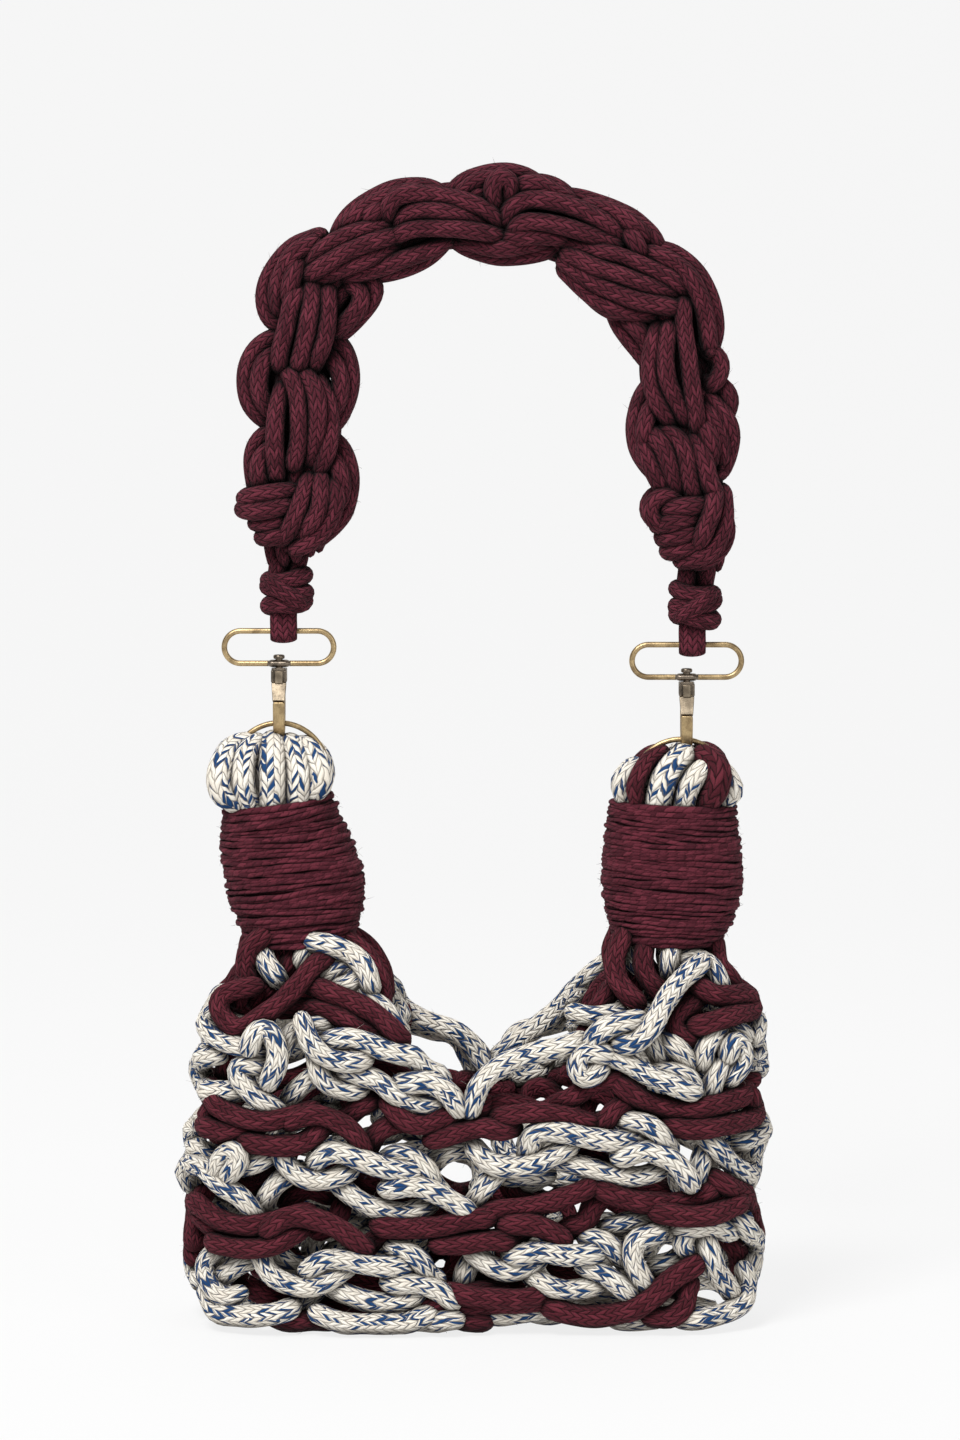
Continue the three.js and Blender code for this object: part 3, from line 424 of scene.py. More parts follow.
def settle(runs, radius, rounds, keep, hold, floor=None, sides=None, openings=()):
    """Push cords that run into each other apart, so that they lie on one another."""
    runs = [r.copy() for r in runs]
    owner = np.concatenate([np.full(len(r), i) for i, r in enumerate(runs)])
    starts = np.cumsum([0] + [len(r) for r in runs])
    place = np.concatenate([np.arange(len(r)) for r in runs])
    p = np.vstack(runs)
    home = p.copy()
    need = 2 * radius * SQUASH
    for _ in range(rounds):
        tree = kdtree.KDTree(len(p))
        for i, v in enumerate(p):
            tree.insert(v, i)
        tree.balance()
        push = np.zeros_like(p)
        hits = np.zeros(len(p))
        for i, v in enumerate(p):
            for _, j, gap in tree.find_range(v, need):
                if j <= i or (owner[i] == owner[j] and abs(place[i] - place[j]) < OWN_POINTS):
                    continue
                way = (p[i] - p[j]) / max(gap, 0.05)
                way[1] *= BACKWARDS
                way = unit(way) * (need - gap) * 0.5
                push[i] += way
                push[j] -= way
                hits[i] += 1
                hits[j] += 1
        p += push / np.maximum(hits, 1)[:, None] * keep * 1.5
        p += (home - p) * [hold, 0.02, hold]
        for a, b in zip(starts[:-1], starts[1:]):
            q = p[a:b]
            if b - a > 4:
                q[1:-1] += 0.35 * (0.5 * (q[:-2] + q[2:]) - q[1:-1])
        for px, py, wide, high in openings:
            sight = (seen_at(px, py, 50.0) - seen_at(px, py, -50.0)) / 100
            off = p - seen_at(px, py, 0.0) - p[:, 1:2] * sight
            gap = np.maximum(np.hypot(off[:, 0] / (radius + wide), off[:, 2] / (radius + high)), 0.02)
            p += off * [0.5, 0, 1] * (np.clip(1 / gap - 1, 0, 3) * 0.7)[:, None]
        if floor is not None:
            p[:, 2] = np.maximum(p[:, 2], floor)
        if sides is not None:
            px, py, near = picture_of(p)
            rows, left, right = np.array(sides, float).T
            inset = radius / PIXEL
            inside = np.clip(px, np.interp(py, rows, left) + inset, np.interp(py, rows, right) - inset)
            p[:, 0] += (inside - px) * PIXEL / near
            p[:, 1] = np.clip(p[:, 1], -NET_DEEPEST, NET_DEEPEST)
    return [p[a:b] for a, b in zip(starts[:-1], starts[1:])]


def add_piece(name, mesh, material, body, stands_for=()):
    """A mesh with its material, as a piece that rides a body and stands in for the CAD's nodes."""
    mesh.materials.append(material)
    piece = bpy.data.objects.new(name, mesh)
    bpy.context.collection.objects.link(piece)
    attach(piece, body)
    for node in stands_for:
        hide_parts(node)
    return piece


FIBRE = 5.0                 # longest loose fibre


class Skein:
    """Gathers swept cords into one mesh whose UV counts stitches: wales round, courses along."""

    def __init__(self):
        self.verts, self.faces, self.uvs, self.count, self.cords = [], [], [], 0, 0

    def sweep(self, path, radius, sides=14, wales=1, course=2.8, closed=False, flat=(1.0, 1.0), up=None,
              pinch=None, ends=True, start_turn=0.0):
        """A tube along a path: flat scales its section, pinch its radius along it, up keeps it from turning."""
        p = np.asarray(path, float)
        n = len(p)
        if closed:
            tangent = np.roll(p, -1, 0) - np.roll(p, 1, 0)
        else:
            tangent = np.gradient(p, axis=0)
        tangent /= np.maximum(np.linalg.norm(tangent, axis=1), 1e-9)[:, None]
        side = np.cross(tangent[0], up if up is not None else (0.13, 0.97, 0.21))
        side = unit(side if np.linalg.norm(side) > 1e-3 else np.cross(tangent[0], (1, 0, 0)))
        sides_at = np.empty_like(p)
        for i in range(n):
            if up is not None:
                turned = np.cross(tangent[i], up)
                side = unit(turned) if np.linalg.norm(turned) > 0.05 else side
            side = unit(side - tangent[i] * np.dot(side, tangent[i]))
            sides_at[i] = side
        across = np.cross(tangent, sides_at)
        if closed and up is None:
            slip = math.atan2(np.dot(np.cross(sides_at[-1], sides_at[0]), tangent[0]),
                              np.dot(sides_at[-1], sides_at[0]))
            turn = np.linspace(0, slip, n)
            sides_at, across = (sides_at * np.cos(turn)[:, None] + across * np.sin(turn)[:, None],
                                across * np.cos(turn)[:, None] - sides_at * np.sin(turn)[:, None])
        size = np.full(n, radius, float) if pinch is None else radius * np.asarray(pinch, float)
        if not closed and ends:
            m = min(4, n // 2)
            for i in range(m):
                share = math.sqrt(max(1 - (1 - (i + 0.35) / m) ** 2, 0))
                size[i] *= share
                size[-1 - i] *= share
        run = np.concatenate([[0], np.cumsum(np.linalg.norm(np.diff(p, axis=0), axis=1))])
        total = run[-1] + (np.linalg.norm(p[0] - p[-1]) if closed else 0)
        scale = 1.0 / course
        if closed:
            scale = max(round(total / course), 1) / total
        angle = FULL_TURN * np.arange(sides) / sides + start_turn
        ring = (sides_at[:, None, :] * (np.cos(angle) * flat[0])[None, :, None]
                + across[:, None, :] * (np.sin(angle) * flat[1])[None, :, None])
        ring = p[:, None, :] + ring * size[:, None, None]
        base = self.count
        self.verts.append(ring.reshape(-1, 3))
        self.count += n * sides
        shift_u, shift_v = self.cords * 17, self.cords * 31
        self.cords += 1
        rows = np.arange(n if closed else n - 1)
        k = np.arange(sides)
        i0, k0 = np.meshgrid(rows, k, indexing='ij')
        i1, k1 = (i0 + 1) % n, (k0 + 1) % sides
        self.faces.append(np.stack([base + i0 * sides + k0, base + i0 * sides + k1,
                                    base + i1 * sides + k1, base + i1 * sides + k0], -1).reshape(-1, 4))
        v0 = run[i0] * scale + shift_v
        after = np.concatenate([run[1:], [total]])
        v1 = after[i0] * scale + shift_v
        u0 = k0 * wales / sides + shift_u
        u1 = (k0 + 1) * wales / sides + shift_u
        self.uvs.append(np.stack([u0, v0, u1, v0, u1, v1, u0, v1], -1).reshape(-1, 8))
        if not closed and ends:
            for end, ring_at, flip in ((p[0] - tangent[0] * radius * 0.25, 0, True),
                                       (p[-1] + tangent[-1] * radius * 0.25, n - 1, False)):
                tip = np.full(sides, self.count)
                self.verts.append(end[None, :])
                self.count += 1
                a, b = base + ring_at * sides + k, base + ring_at * sides + (k + 1) % sides
                ua, ub = k * wales / sides + shift_u, (k + 1) * wales / sides + shift_u
                if flip:
                    a, b, ua, ub = b, a, ub, ua
                vv = np.full(sides, shift_v + run[ring_at] * scale)
                self.faces.append(np.stack([a, b, tip, tip], -1))
                self.uvs.append(np.stack([ua, vv, ub, vv, ub, vv, ub, vv], -1))
        return self

    def fluff(self, count):
        """Loose fibres that stand off the cords swept so far: thin curved threads of three sides."""
        verts = np.vstack(self.verts)
        at = verts[chance.integers(0, len(verts), count)]
        for i in range(count):
            way = unit(chance.normal(size=3))
            bend = unit(chance.normal(size=3))
            reach = FIBRE * chance.uniform(0.4, 1.0)
            path = np.array([at[i] + way * reach * (t - 0.3) + bend * reach * 0.35 * (t - 0.3) ** 2
                             for t in (0, 0.35, 0.7, 1.0)])
            path[:, 2] = np.maximum(path[:, 2], 0.3)
            self.sweep(path, 0.06, sides=3, wales=0, course=50, pinch=(1, 1, 0.8, 0.3), ends=False)
        return self

    def make(self, name, material, slot, body='bag', stands_for=()):
        """All that was swept, as one piece."""
        verts = np.vstack(self.verts) * MM
        faces = np.vstack(self.faces)
        uvs = np.vstack(self.uvs).reshape(-1, 4, 2)
        tri = faces[:, 2] == faces[:, 3]
        counts = np.where(tri, 3, 4)
        loops = np.concatenate([f[:c] for f, c in zip(faces, counts)]) if tri.any() else faces.reshape(-1)
        loop_uv = np.concatenate([u[:c] for u, c in zip(uvs, counts)]) if tri.any() else uvs.reshape(-1, 2)
        mesh = bpy.data.meshes.new(name)
        mesh.vertices.add(len(verts))
        mesh.vertices.foreach_set('co', verts.astype(np.float32).ravel())
        mesh.loops.add(len(loops))
        mesh.loops.foreach_set('vertex_index', loops.astype(np.int32))
        mesh.polygons.add(len(faces))
        starts = np.concatenate([[0], np.cumsum(counts)[:-1]])
        mesh.polygons.foreach_set('loop_start', starts.astype(np.int32))
        mesh.polygons.foreach_set('loop_total', counts.astype(np.int32))
        layer = mesh.uv_layers.new(name='UVMap')
        layer.data.foreach_set('uv', loop_uv.astype(np.float32).ravel())
        mesh.polygons.foreach_set('use_smooth', np.ones(len(faces), bool))
        mesh.update(calc_edges=True)
        mesh.validate()
        return add_piece(name, mesh, material, body, stands_for)


# Finishes

FLOAT = 'NodeSocketFloat'


class Bench:
    """A short way to place and join nodes in one tree."""

    def __init__(self, tree):
        self.tree = tree

    def put(self, kind, **settings):
        node = self.tree.nodes.new(kind)
        for key, value in settings.items():
            setattr(node, key, value)
        return node

    def feed(self, socket, value):
        if isinstance(value, bpy.types.NodeSocket):
            self.tree.links.new(value, socket)
        elif value is not None:
            socket.default_value = value

    def sum(self, operation, a, b=None, c=None, clamp=False):
        node = self.put('ShaderNodeMath', operation=operation, use_clamp=clamp)
        for socket, value in zip(node.inputs, (a, b, c)):
            self.feed(socket, value)
        return node.outputs[0]

    def mix(self, share, a, b):
        node = self.put('ShaderNodeMix', data_type='RGBA')
        self.feed(node.inputs[0], share)
        self.feed(node.inputs[6], a)
        self.feed(node.inputs[7], b)
        return node.outputs[2]

    def band(self, value, low, high, to_low=0.0, to_high=1.0):
        node = self.put('ShaderNodeMapRange', interpolation_type='SMOOTHSTEP')
        for socket, v in zip(node.inputs, (value, low, high, to_low, to_high)):
            self.feed(socket, v)
        return node.outputs[0]

    def noise(self, scale, detail=3.0, vector=None, rough=0.6):
        node = self.put('ShaderNodeTexNoise')
        node.inputs['Scale'].default_value = scale
        node.inputs['Detail'].default_value = detail
        node.inputs['Roughness'].default_value = rough
        if vector is None:
            vector = self.put('ShaderNodeTexCoord').outputs['Object']
        self.feed(node.inputs['Vector'], vector)
        return node.outputs['Fac']

    def finer_place(self, fineness):
        """The place in the piece, drawn finer by a factor."""
        scaled = self.put('ShaderNodeVectorMath', operation='SCALE')
        self.feed(scaled.inputs[0], self.put('ShaderNodeTexCoord').outputs['Object'])
        self.feed(scaled.inputs['Scale'], fineness)
        return scaled.outputs[0]

    def stitch_place(self):
        """How many stitches round and how many along."""
        split = self.put('ShaderNodeSeparateXYZ')
        self.feed(split.inputs[0], self.put('ShaderNodeUVMap', uv_map='UVMap').outputs[0])
        return split.outputs[0], split.outputs[1]

    def fold(self, value):
        """1 at whole numbers and 0 halfway between them."""
        return self.sum('ABSOLUTE', self.sum('SUBTRACT', self.sum('MULTIPLY', value, 2.0), 1.0))

    def bulge(self, value, power):
        """The height of a plump section, 1 in the middle and 0 where the value is 1."""
        return self.sum('SQRT', self.sum('SUBTRACT', 1.0, self.sum('POWER', value, power), clamp=True))

    def cell(self, x, y, z):
        """A random value of its own for each whole place."""
        joined = self.put('ShaderNodeCombineXYZ')
        for socket, v in zip(joined.inputs, (x, y, z)):
            self.feed(socket, v)
        node = self.put('ShaderNodeTexWhiteNoise', noise_dimensions='3D')
        self.feed(node.inputs['Vector'], joined.outputs[0])
        return node.outputs['Value']


def new_group(name, inputs, outputs):
    """A node group of plain numbers, with its bench and its two ends."""
    group = bpy.data.node_groups.new(name, 'ShaderNodeTree')
    for label, value in inputs.items():
        group.interface.new_socket(name=label, in_out='INPUT', socket_type=FLOAT).default_value = value
    for label in outputs:
        group.interface.new_socket(name=label, in_out='OUTPUT', socket_type=FLOAT)
    bench = Bench(group)
    return group, bench, bench.put('NodeGroupInput').outputs, bench.put('NodeGroupOutput').inputs


def knit_group():
    """Stitches of a knitted tube: columns of Vs whose legs are plump and made of a few plies."""
    group, b, given, out = new_group('Knitted stitches', {'Slant': 1.8, 'Plies': 2.0},
                                     ['Height', 'Crease', 'Ply', 'Stitch'])
    wobble = b.sum('MULTIPLY', b.sum('SUBTRACT', b.noise(160.0, 2.0), 0.5), 0.5)
    u, v = (b.sum('ADD', place, wobble) for place in b.stitch_place())
    column = b.sum('FLOOR', u)
    middle = b.sum('SUBTRACT', b.sum('FRACT', u), 0.5)
    away = b.sum('ABSOLUTE', middle)
    side = b.sum('SIGN', middle)
    lean = b.sum('SUBTRACT', v, b.sum('MULTIPLY', away, given['Slant']))
    row = b.sum('FLOOR', lean)
    along = b.sum('FRACT', lean)
    leg = b.sum('ABSOLUTE', b.sum('SUBTRACT', b.sum('MULTIPLY', away, 4.0), 1.0))
    height = b.sum('MULTIPLY', b.sum('MULTIPLY_ADD', b.bulge(leg, 5.0), 0.55, 0.45),
                   b.sum('MULTIPLY_ADD', b.bulge(b.fold(along), 2.0), 0.8, 0.2))
    b.feed(out['Height'], height)
    b.feed(out['Crease'], b.band(height, 0.86, 0.36))
    strand = b.sum('FLOOR', b.sum('MULTIPLY', b.sum('ADD', along, b.sum('MULTIPLY', away, 0.35)), given['Plies']))
    leg_of = b.sum('MULTIPLY_ADD', side, 0.25, column)
    b.feed(out['Ply'], b.cell(leg_of, b.sum('MULTIPLY_ADD', row, 7.0, strand), 0.5))
    b.feed(out['Stitch'], b.cell(leg_of, row, 9.5))
    return group


def fuzz_group():
    """Loose fibres: fine uneven grain, and slow patches where the cord is more rubbed."""
    group, b, given, out = new_group('Loose fibres', {'Fineness': 1.0}, ['Fibre', 'Patch'])
    place = b.finer_place(given['Fineness'])
    b.feed(out['Fibre'], b.noise(2600.0, 4.0, place, 0.7))
    b.feed(out['Patch'], b.noise(70.0, 3.0, place))
    return group


def twist_group():
    """Plies of a twisted yarn, from a UV that runs once round and in millimetres along."""
    group, b, given, out = new_group('Twisted plies', {'Twist': 2.0}, ['Height', 'Crease', 'Ply'])
    u, v = b.stitch_place()
    wobble = b.sum('MULTIPLY', b.noise(300.0, 2.0), 0.8)
    turn = b.sum('ADD', b.sum('MULTIPLY_ADD', u, given['Twist'], v), wobble)
    height = b.bulge(b.fold(b.sum('FRACT', turn)), 2.4)
    b.feed(out['Height'], height)
    b.feed(out['Crease'], b.band(height, 0.7, 0.1))
    b.feed(out['Ply'], b.cell(b.sum('FLOOR', turn), 3.5, 0.5))
    return group


def wear_group():
    """Antique brass: dark patina in slow patches and a fine brushed grain."""
    group, b, given, out = new_group('Patina', {'Grain': 1.0}, ['Dark', 'Grain'])
    place = b.finer_place(given['Grain'])
    b.feed(out['Dark'], b.band(b.noise(190.0, 4.0, place), 0.36, 0.66))
    b.feed(out['Grain'], b.noise(2400.0, 3.0, place))
    return group


def painted_nook_shade_group():
    """Painted shade: how sheltered a spot is by the cords beside it, 0 in the open, 1 deep in a crease, as a mask that
    darkens the colour there.
    """
    group, b, given, out = new_group('Painted nook shade', {'Reach': 0.007}, ['Nook'])
    near = b.put('ShaderNodeAmbientOcclusion', samples=6)
    b.feed(near.inputs['Distance'], given['Reach'])
    b.feed(out['Nook'], b.band(near.outputs['AO'], 0.9, 0.36))
    return group


KNIT, FUZZ, TWIST, PATINA, PAINTED_NOOK_SHADE = knit_group(), fuzz_group(), twist_group(), wear_group(), painted_nook_shade_group()


def rgb(r, g, b):
    """A colour given as it looks on a screen, 0 to 255."""
    def linear(c):
        c /= 255
        return c / 12.92 if c <= 0.04045 else ((c + 0.055) / 1.055) ** 2.4
    return (linear(r), linear(g), linear(b), 1.0)


def start_material(name):
    """A new material with its bench and its shader."""
    material = bpy.data.materials.new(name)
    material.use_nodes = True
    bench = Bench(material.node_tree)
    shader = material.node_tree.nodes['Principled BSDF']
    return material, bench, shader


def place_group(bench, group, **values):
    """A shared effect set into a material with its own values."""
    node = bench.put('ShaderNodeGroup', node_tree=group)
    for key, value in values.items():
        bench.feed(node.inputs[key], value)
    return node.outputs


def raise_surface(bench, shader, height, strength, distance):
    """Relief finer than the mesh."""
    bump = bench.put('ShaderNodeBump')
    bump.inputs['Strength'].default_value = strength
    bump.inputs['Distance'].default_value = distance
    bench.feed(bump.inputs['Height'], height)
    bench.feed(shader.inputs['Normal'], bump.outputs[0])


def finish_yarn(b, shader, colour, fibre, height, strength, distance):
    """What knitted and wound yarn share: dull, slightly furry and raised by its stitches or plies."""
    b.feed(shader.inputs['Base Color'], colour)
    b.feed(shader.inputs['Roughness'], b.band(fibre, 0.2, 0.8, 0.8, 0.98))
    shader.inputs['Sheen Weight'].default_value = 0.02
    shader.inputs['Sheen Roughness'].default_value = 0.6
    shader.inputs['Specular IOR Level'].default_value = 0.08
    raise_surface(b, shader, height, strength, distance)


def knitted(name, light, mid, dark, deep, fleck=None, fleck_share=0.3, crease=0.8, nook_shade=0.9, reach=0.007):
    """Knitted cord in one colour, or in one colour with some plies of another, with painted shade darkening the
    creases between stitches and the nooks between cords.
    """
    material, b, shader = start_material(name)
    knit = place_group(b, KNIT)
    fuzz = place_group(b, FUZZ)
    tone = b.sum('ADD', b.sum('MULTIPLY', knit['Stitch'], 0.35), b.sum('MULTIPLY', fuzz['Fibre'], 0.75))
    colour = b.mix(b.band(tone, 0.25, 0.85), mid, light)
    if fleck:
        share = b.sum('MULTIPLY_ADD', fuzz['Patch'], 0.3, fleck_share - 0.15)
        mask = b.sum('LESS_THAN', knit['Ply'], share)
        colour = b.mix(mask, colour, b.mix(fuzz['Fibre'], fleck[0], fleck[1]))
    # Painted shade: darker in the creases between the stitches' legs
    colour = b.mix(b.sum('MULTIPLY', knit['Crease'], crease), colour, dark)
    # Painted shade: darker towards the deep colour where nearby cords shelter the spot
    colour = b.mix(b.sum('MULTIPLY', place_group(b, PAINTED_NOOK_SHADE, Reach=reach)['Nook'], nook_shade), colour, deep)
    height = b.sum('ADD', knit['Height'], b.sum('MULTIPLY', fuzz['Fibre'], 0.35))
    finish_yarn(b, shader, colour, fuzz['Fibre'], height, 1.0, 0.0012)
    return material


def wound_yarn(name, light, mid, dark):
    """Twisted yarn wound in many turns, with painted shade darkening the creases between plies and the nooks between
    turns.
    """
    material, b, shader = start_material(name)
    ply = place_group(b, TWIST)
    fuzz = place_group(b, FUZZ)
    tone = b.sum('ADD', b.sum('MULTIPLY', ply['Ply'], 0.3), b.sum('MULTIPLY', fuzz['Fibre'], 0.8))
    colour = b.mix(b.band(tone, 0.3, 0.85), mid, light)
    # Painted shade: darker in the creases between the plies
    colour = b.mix(b.sum('MULTIPLY', ply['Crease'], 0.7), colour, dark)
    # Painted shade: darker where nearby turns shelter the spot
    colour = b.mix(b.sum('MULTIPLY', place_group(b, PAINTED_NOOK_SHADE, Reach=0.003)['Nook'], 0.9), colour, dark)
    height = b.sum('ADD', b.sum('MULTIPLY', ply['Height'], 0.7), b.sum('MULTIPLY', fuzz['Fibre'], 0.5))
    finish_yarn(b, shader, colour, fuzz['Fibre'], height, 0.9, 0.0006)
    return material


def antique_brass(name, light, mid, dark, rough):
    """Plated metal gone dark in patches."""
    material, b, shader = start_material(name)
    worn = place_group(b, PATINA)
    colour = b.mix(worn['Dark'], light, mid)
    colour = b.mix(b.sum('MULTIPLY', b.band(worn['Grain'], 0.45, 0.8), 0.5), colour, dark)
    b.feed(shader.inputs['Base Color'], colour)
    shader.inputs['Metallic'].default_value = 1.0
    b.feed(shader.inputs['Roughness'], b.sum('MULTIPLY_ADD', worn['Grain'], 0.25, rough - 0.1))
    raise_surface(b, shader, worn['Grain'], 0.12, 0.0002)
    return material


# The third colour of each knit is painted shade in the creases between stitches, the fourth painted shade in the nooks
# between cords; the yarn's third colour is painted shade in both.
CREAM = knitted('cream_and_blue_knit', rgb(253, 248, 237), rgb(238, 229, 214), rgb(150, 138, 124), rgb(52, 44, 42),
                (rgb(16, 46, 88), rgb(42, 84, 134)), 0.27, crease=0.6, nook_shade=0.78)
MAROON = knitted('maroon_knit', rgb(108, 45, 56), rgb(62, 21, 29), rgb(10, 2, 4), rgb(5, 1, 2), crease=0.85)
STRAP_MAROON = knitted('strap_knit', rgb(108, 46, 59), rgb(60, 21, 30), rgb(10, 2, 4), rgb(4, 1, 2),
                       crease=0.88, nook_shade=0.96, reach=0.011)
YARN_MAROON = wound_yarn('maroon_yarn', rgb(108, 46, 58), rgb(60, 22, 31), rgb(6, 1, 3))
BRASS = antique_brass('antique_brass', rgb(196, 172, 130), rgb(146, 124, 92), rgb(72, 58, 42), 0.42)
DARK_BRASS = antique_brass('darkened_brass', rgb(134, 122, 108), rgb(96, 88, 78), rgb(52, 47, 42), 0.38)
PEWTER = antique_brass('worn_pewter', rgb(158, 144, 124), rgb(112, 101, 86), rgb(60, 53, 45), 0.46)


# What each kind of piece is made of: its material and its colour slot
CREAM_CORD, MAROON_CORD = (CREAM, 'cream_cord'), (MAROON, 'maroon_cord')
STRAP_KNIT, WRAP_YARN = (STRAP_MAROON, 'maroon_cord'), (YARN_MAROON, 'maroon_yarn')
BRIGHT, DARKENED = (BRASS, 'antique_brass'), (DARK_BRASS, 'antique_brass')


# The net

def back_of(run):
    """The same cord at the back: turned half round the middle, or straight behind in the shoulders."""
    turned = run.copy()
    turned[:, 1] *= -1
    if run[:, 2].mean() < RIM:
        turned[:, 0] *= -1
    return turned


def floor_runs():
    """Cream cords that fill the base side by side, weaving a little."""
    runs = []
    for i, y in enumerate((-21, -10.5, 0, 10.5, 21)):
        half = 94 - 0.04 * y * y
        points = [(x, y + 3.0 * (-1) ** (j + i), 6.2 + 0.9 * (-1) ** j)
                  for j, x in enumerate(np.linspace(-half, half, 14))]
        runs.append(resample(points, 2.4))
    return runs


# Where one sees right through the net: pixel, and half width and height in millimetres
OPENINGS = [(459, 1173, 7.5, 4.6), (440, 1052, 6.5, 4.4), (706, 1297, 4.6, 3.4), (664, 1248, 2.8, 2.2),
            (441, 1263, 3, 2.4), (541, 1099, 2.4, 1), (515, 1143, 3, 1.6), (548, 1189, 2, 1.2), (578, 1211, 1, 1.8),
            (600, 1107, 1.2, 1.6), (301, 1250, 1, 1.2)]

# How far the net reaches to the left and right: pixel row, left pixel, right pixel
NET_SIDES = [(925, 232, 738), (935, 239, 724), (965, 235, 728), (985, 222, 745), (997, 208, 760), (1025, 194, 768),
             (1040, 200, 766), (1068, 188, 770), (1085, 194, 758), (1105, 205, 764), (1130, 182, 773),
             (1150, 186, 764), (1172, 174, 762), (1190, 181, 754), (1210, 186, 760), (1235, 183, 766),
             (1265, 183, 763), (1285, 192, 757), (1300, 198, 756), (1312, 206, 750), (1326, 236, 736)]


def make_net():
    """The front's cords, the same cords at the back, and the floor, settled together; a piece for each row."""
    names, runs = [], []
    for name, cords in FRONT.items():
        for cord in cords:
            run = net_run(*cord)
            both = name != 'dark_maroon' and cord[0] < BACK_ONLY
            runs += [run, back_of(run)] if both else [run]
            names += [name, name] if both else [name]
    floor = floor_runs()
    runs += floor
    names += ['base_cream'] * len(floor)
    laid = settle(runs, CORD, rounds=18, keep=0.5, hold=0.24, floor=5.2, sides=NET_SIDES, openings=OPENINGS)
    stands_for = {name: [name if name.startswith('base') else 'row_' + name] for name in FRONT}
    stands_for |= {'shoulder_cream': ['shoulder_left', 'shoulder_right'], 'shoulder_maroon': [], 'dark_maroon': []}
    for name in FRONT:
        skein = Skein()
        for owner, run in zip(names, laid):
            if owner == name:
                size = CORD * chance.uniform(0.94, 1.04)
                swell = 1 + 0.03 * np.sin(np.arange(len(run)) * 0.9 + chance.uniform(0, 6))
                skein.sweep(run, size, wales=8, course=3.8, pinch=swell, start_turn=chance.uniform(0, 6))
        skein.fluff(14 * names.count(name))
        cord = CREAM_CORD if name.endswith('cream') else MAROON_CORD
        skein.make('net_' + name, *cord, stands_for=stands_for[name])


# Yarn wraps: rows of (pixel row, left pixel, right pixel, tilt in degrees)
WRAPS = {
    'left': [(943, 247, 355, 4.2), (925, 240, 361, 4.6), (900, 232, 365, 5.2), (875, 225, 363, 5.8),
             (850, 221, 354, 6.2), (828, 220, 344, 6.5), (805, 222, 334, 7.4)],
    'right': [(943, 613, 717, -2.0), (925, 607, 730, -2.4), (900, 602, 740, -3.0), (880, 601, 743, -3.4),
              (855, 603, 742, -3.9), (830, 605, 740, -3.6), (806, 609, 737, -2.4)],
}
WRAP_DEEP = 20.7            # half depth of a wrap's outermost turns


def round_angles(count):
    """Evenly spread angles for one turn."""
    return np.linspace(0, FULL_TURN, count, endpoint=False)


def make_wrap(side):
    """Turns of yarn round a neck: the uneven outer ones, some that cross them, and what lies under them."""
    table = WRAPS[side]
    z_at = [seen_at(0, row)[2] for row, *_ in table]
    left = [seen_at(a, row)[0] for row, a, _, _ in table]
    right = [seen_at(c, row)[0] for row, _, c, _ in table]
    tilt = [row[3] for row in table]
    low, high = z_at[0] + 1.5, z_at[-1] + 0.4
    skein = Skein()

    def across(z):
        """The middle, half width and lean of the wrap at a height."""
        a, c = np.interp(z, z_at, left), np.interp(z, z_at, right)
        return (a + c) / 2, (c - a) / 2, np.interp(z, z_at, tilt)

    turns = 38
    for i in range(turns):
        share = i / (turns - 1)
        z = low + (high - low) * share + chance.uniform(-0.5, 0.5)
        middle, half, lean = across(z)
        slope = math.tan(math.radians(lean + chance.uniform(-2.2, 2.2)))
        half += chance.uniform(-0.6, 0.5) - YARN
        deep = WRAP_DEEP - 0.1 - 1.6 * abs(2 * share - 0.85) ** 1.6 + chance.uniform(-0.55, 0.45)
        phase, sway = chance.uniform(0, 6, 3), chance.uniform(0.2, 0.75)
        pitch = math.tan(math.radians(chance.uniform(-2.0, 2.0)))
        points = []
        for angle in round_angles(40):
            x = half * math.copysign(abs(math.cos(angle)) ** 0.9, math.cos(angle))
            y = deep * math.copysign(abs(math.sin(angle)) ** 0.9, math.sin(angle))
            ripple = (sway * math.sin(2 * angle + phase[0]) + 0.3 * math.sin(5 * angle + phase[1])
                      + 0.2 * math.sin(11 * angle + phase[2]))
            points.append((middle + x, y, z + x * slope + y * pitch + ripple))
        skein.sweep(resample(points, 2.4, closed=True), YARN * chance.uniform(0.85, 1.2), sides=8, course=3.6,
                    closed=True)
    for i in range(16):
        z = low + (high - low) * chance.uniform(0.08, 0.92)
        middle, half, lean = across(z)
        slope = math.tan(math.radians(lean + chance.choice((-1, 1)) * chance.uniform(2, 6)))
        half += 0.4 - YARN
        points = [(middle + half * math.cos(q), WRAP_DEEP * math.sin(q), z + half * math.cos(q) * slope
                   + 0.6 * math.sin(2 * q + i)) for q in round_angles(36)]
        skein.sweep(resample(points, 2.4, closed=True), YARN, sides=8, course=3.6, closed=True)
    for z in np.linspace(low, high, 26):
        middle, half, lean = across(z)
        half -= 1.9
        slope = math.tan(math.radians(lean))
        points = [(middle + half * math.cos(q), (WRAP_DEEP - 2) * math.sin(q), z + half * math.cos(q) * slope)
                  for q in round_angles(24)]
        skein.sweep(resample(points, 4.0, closed=True), 1.5, sides=6, course=3.6, closed=True)
    skein.fluff(1100).make('wrap_yarn_' + side, *WRAP_YARN, stands_for=['wrap_' + side])


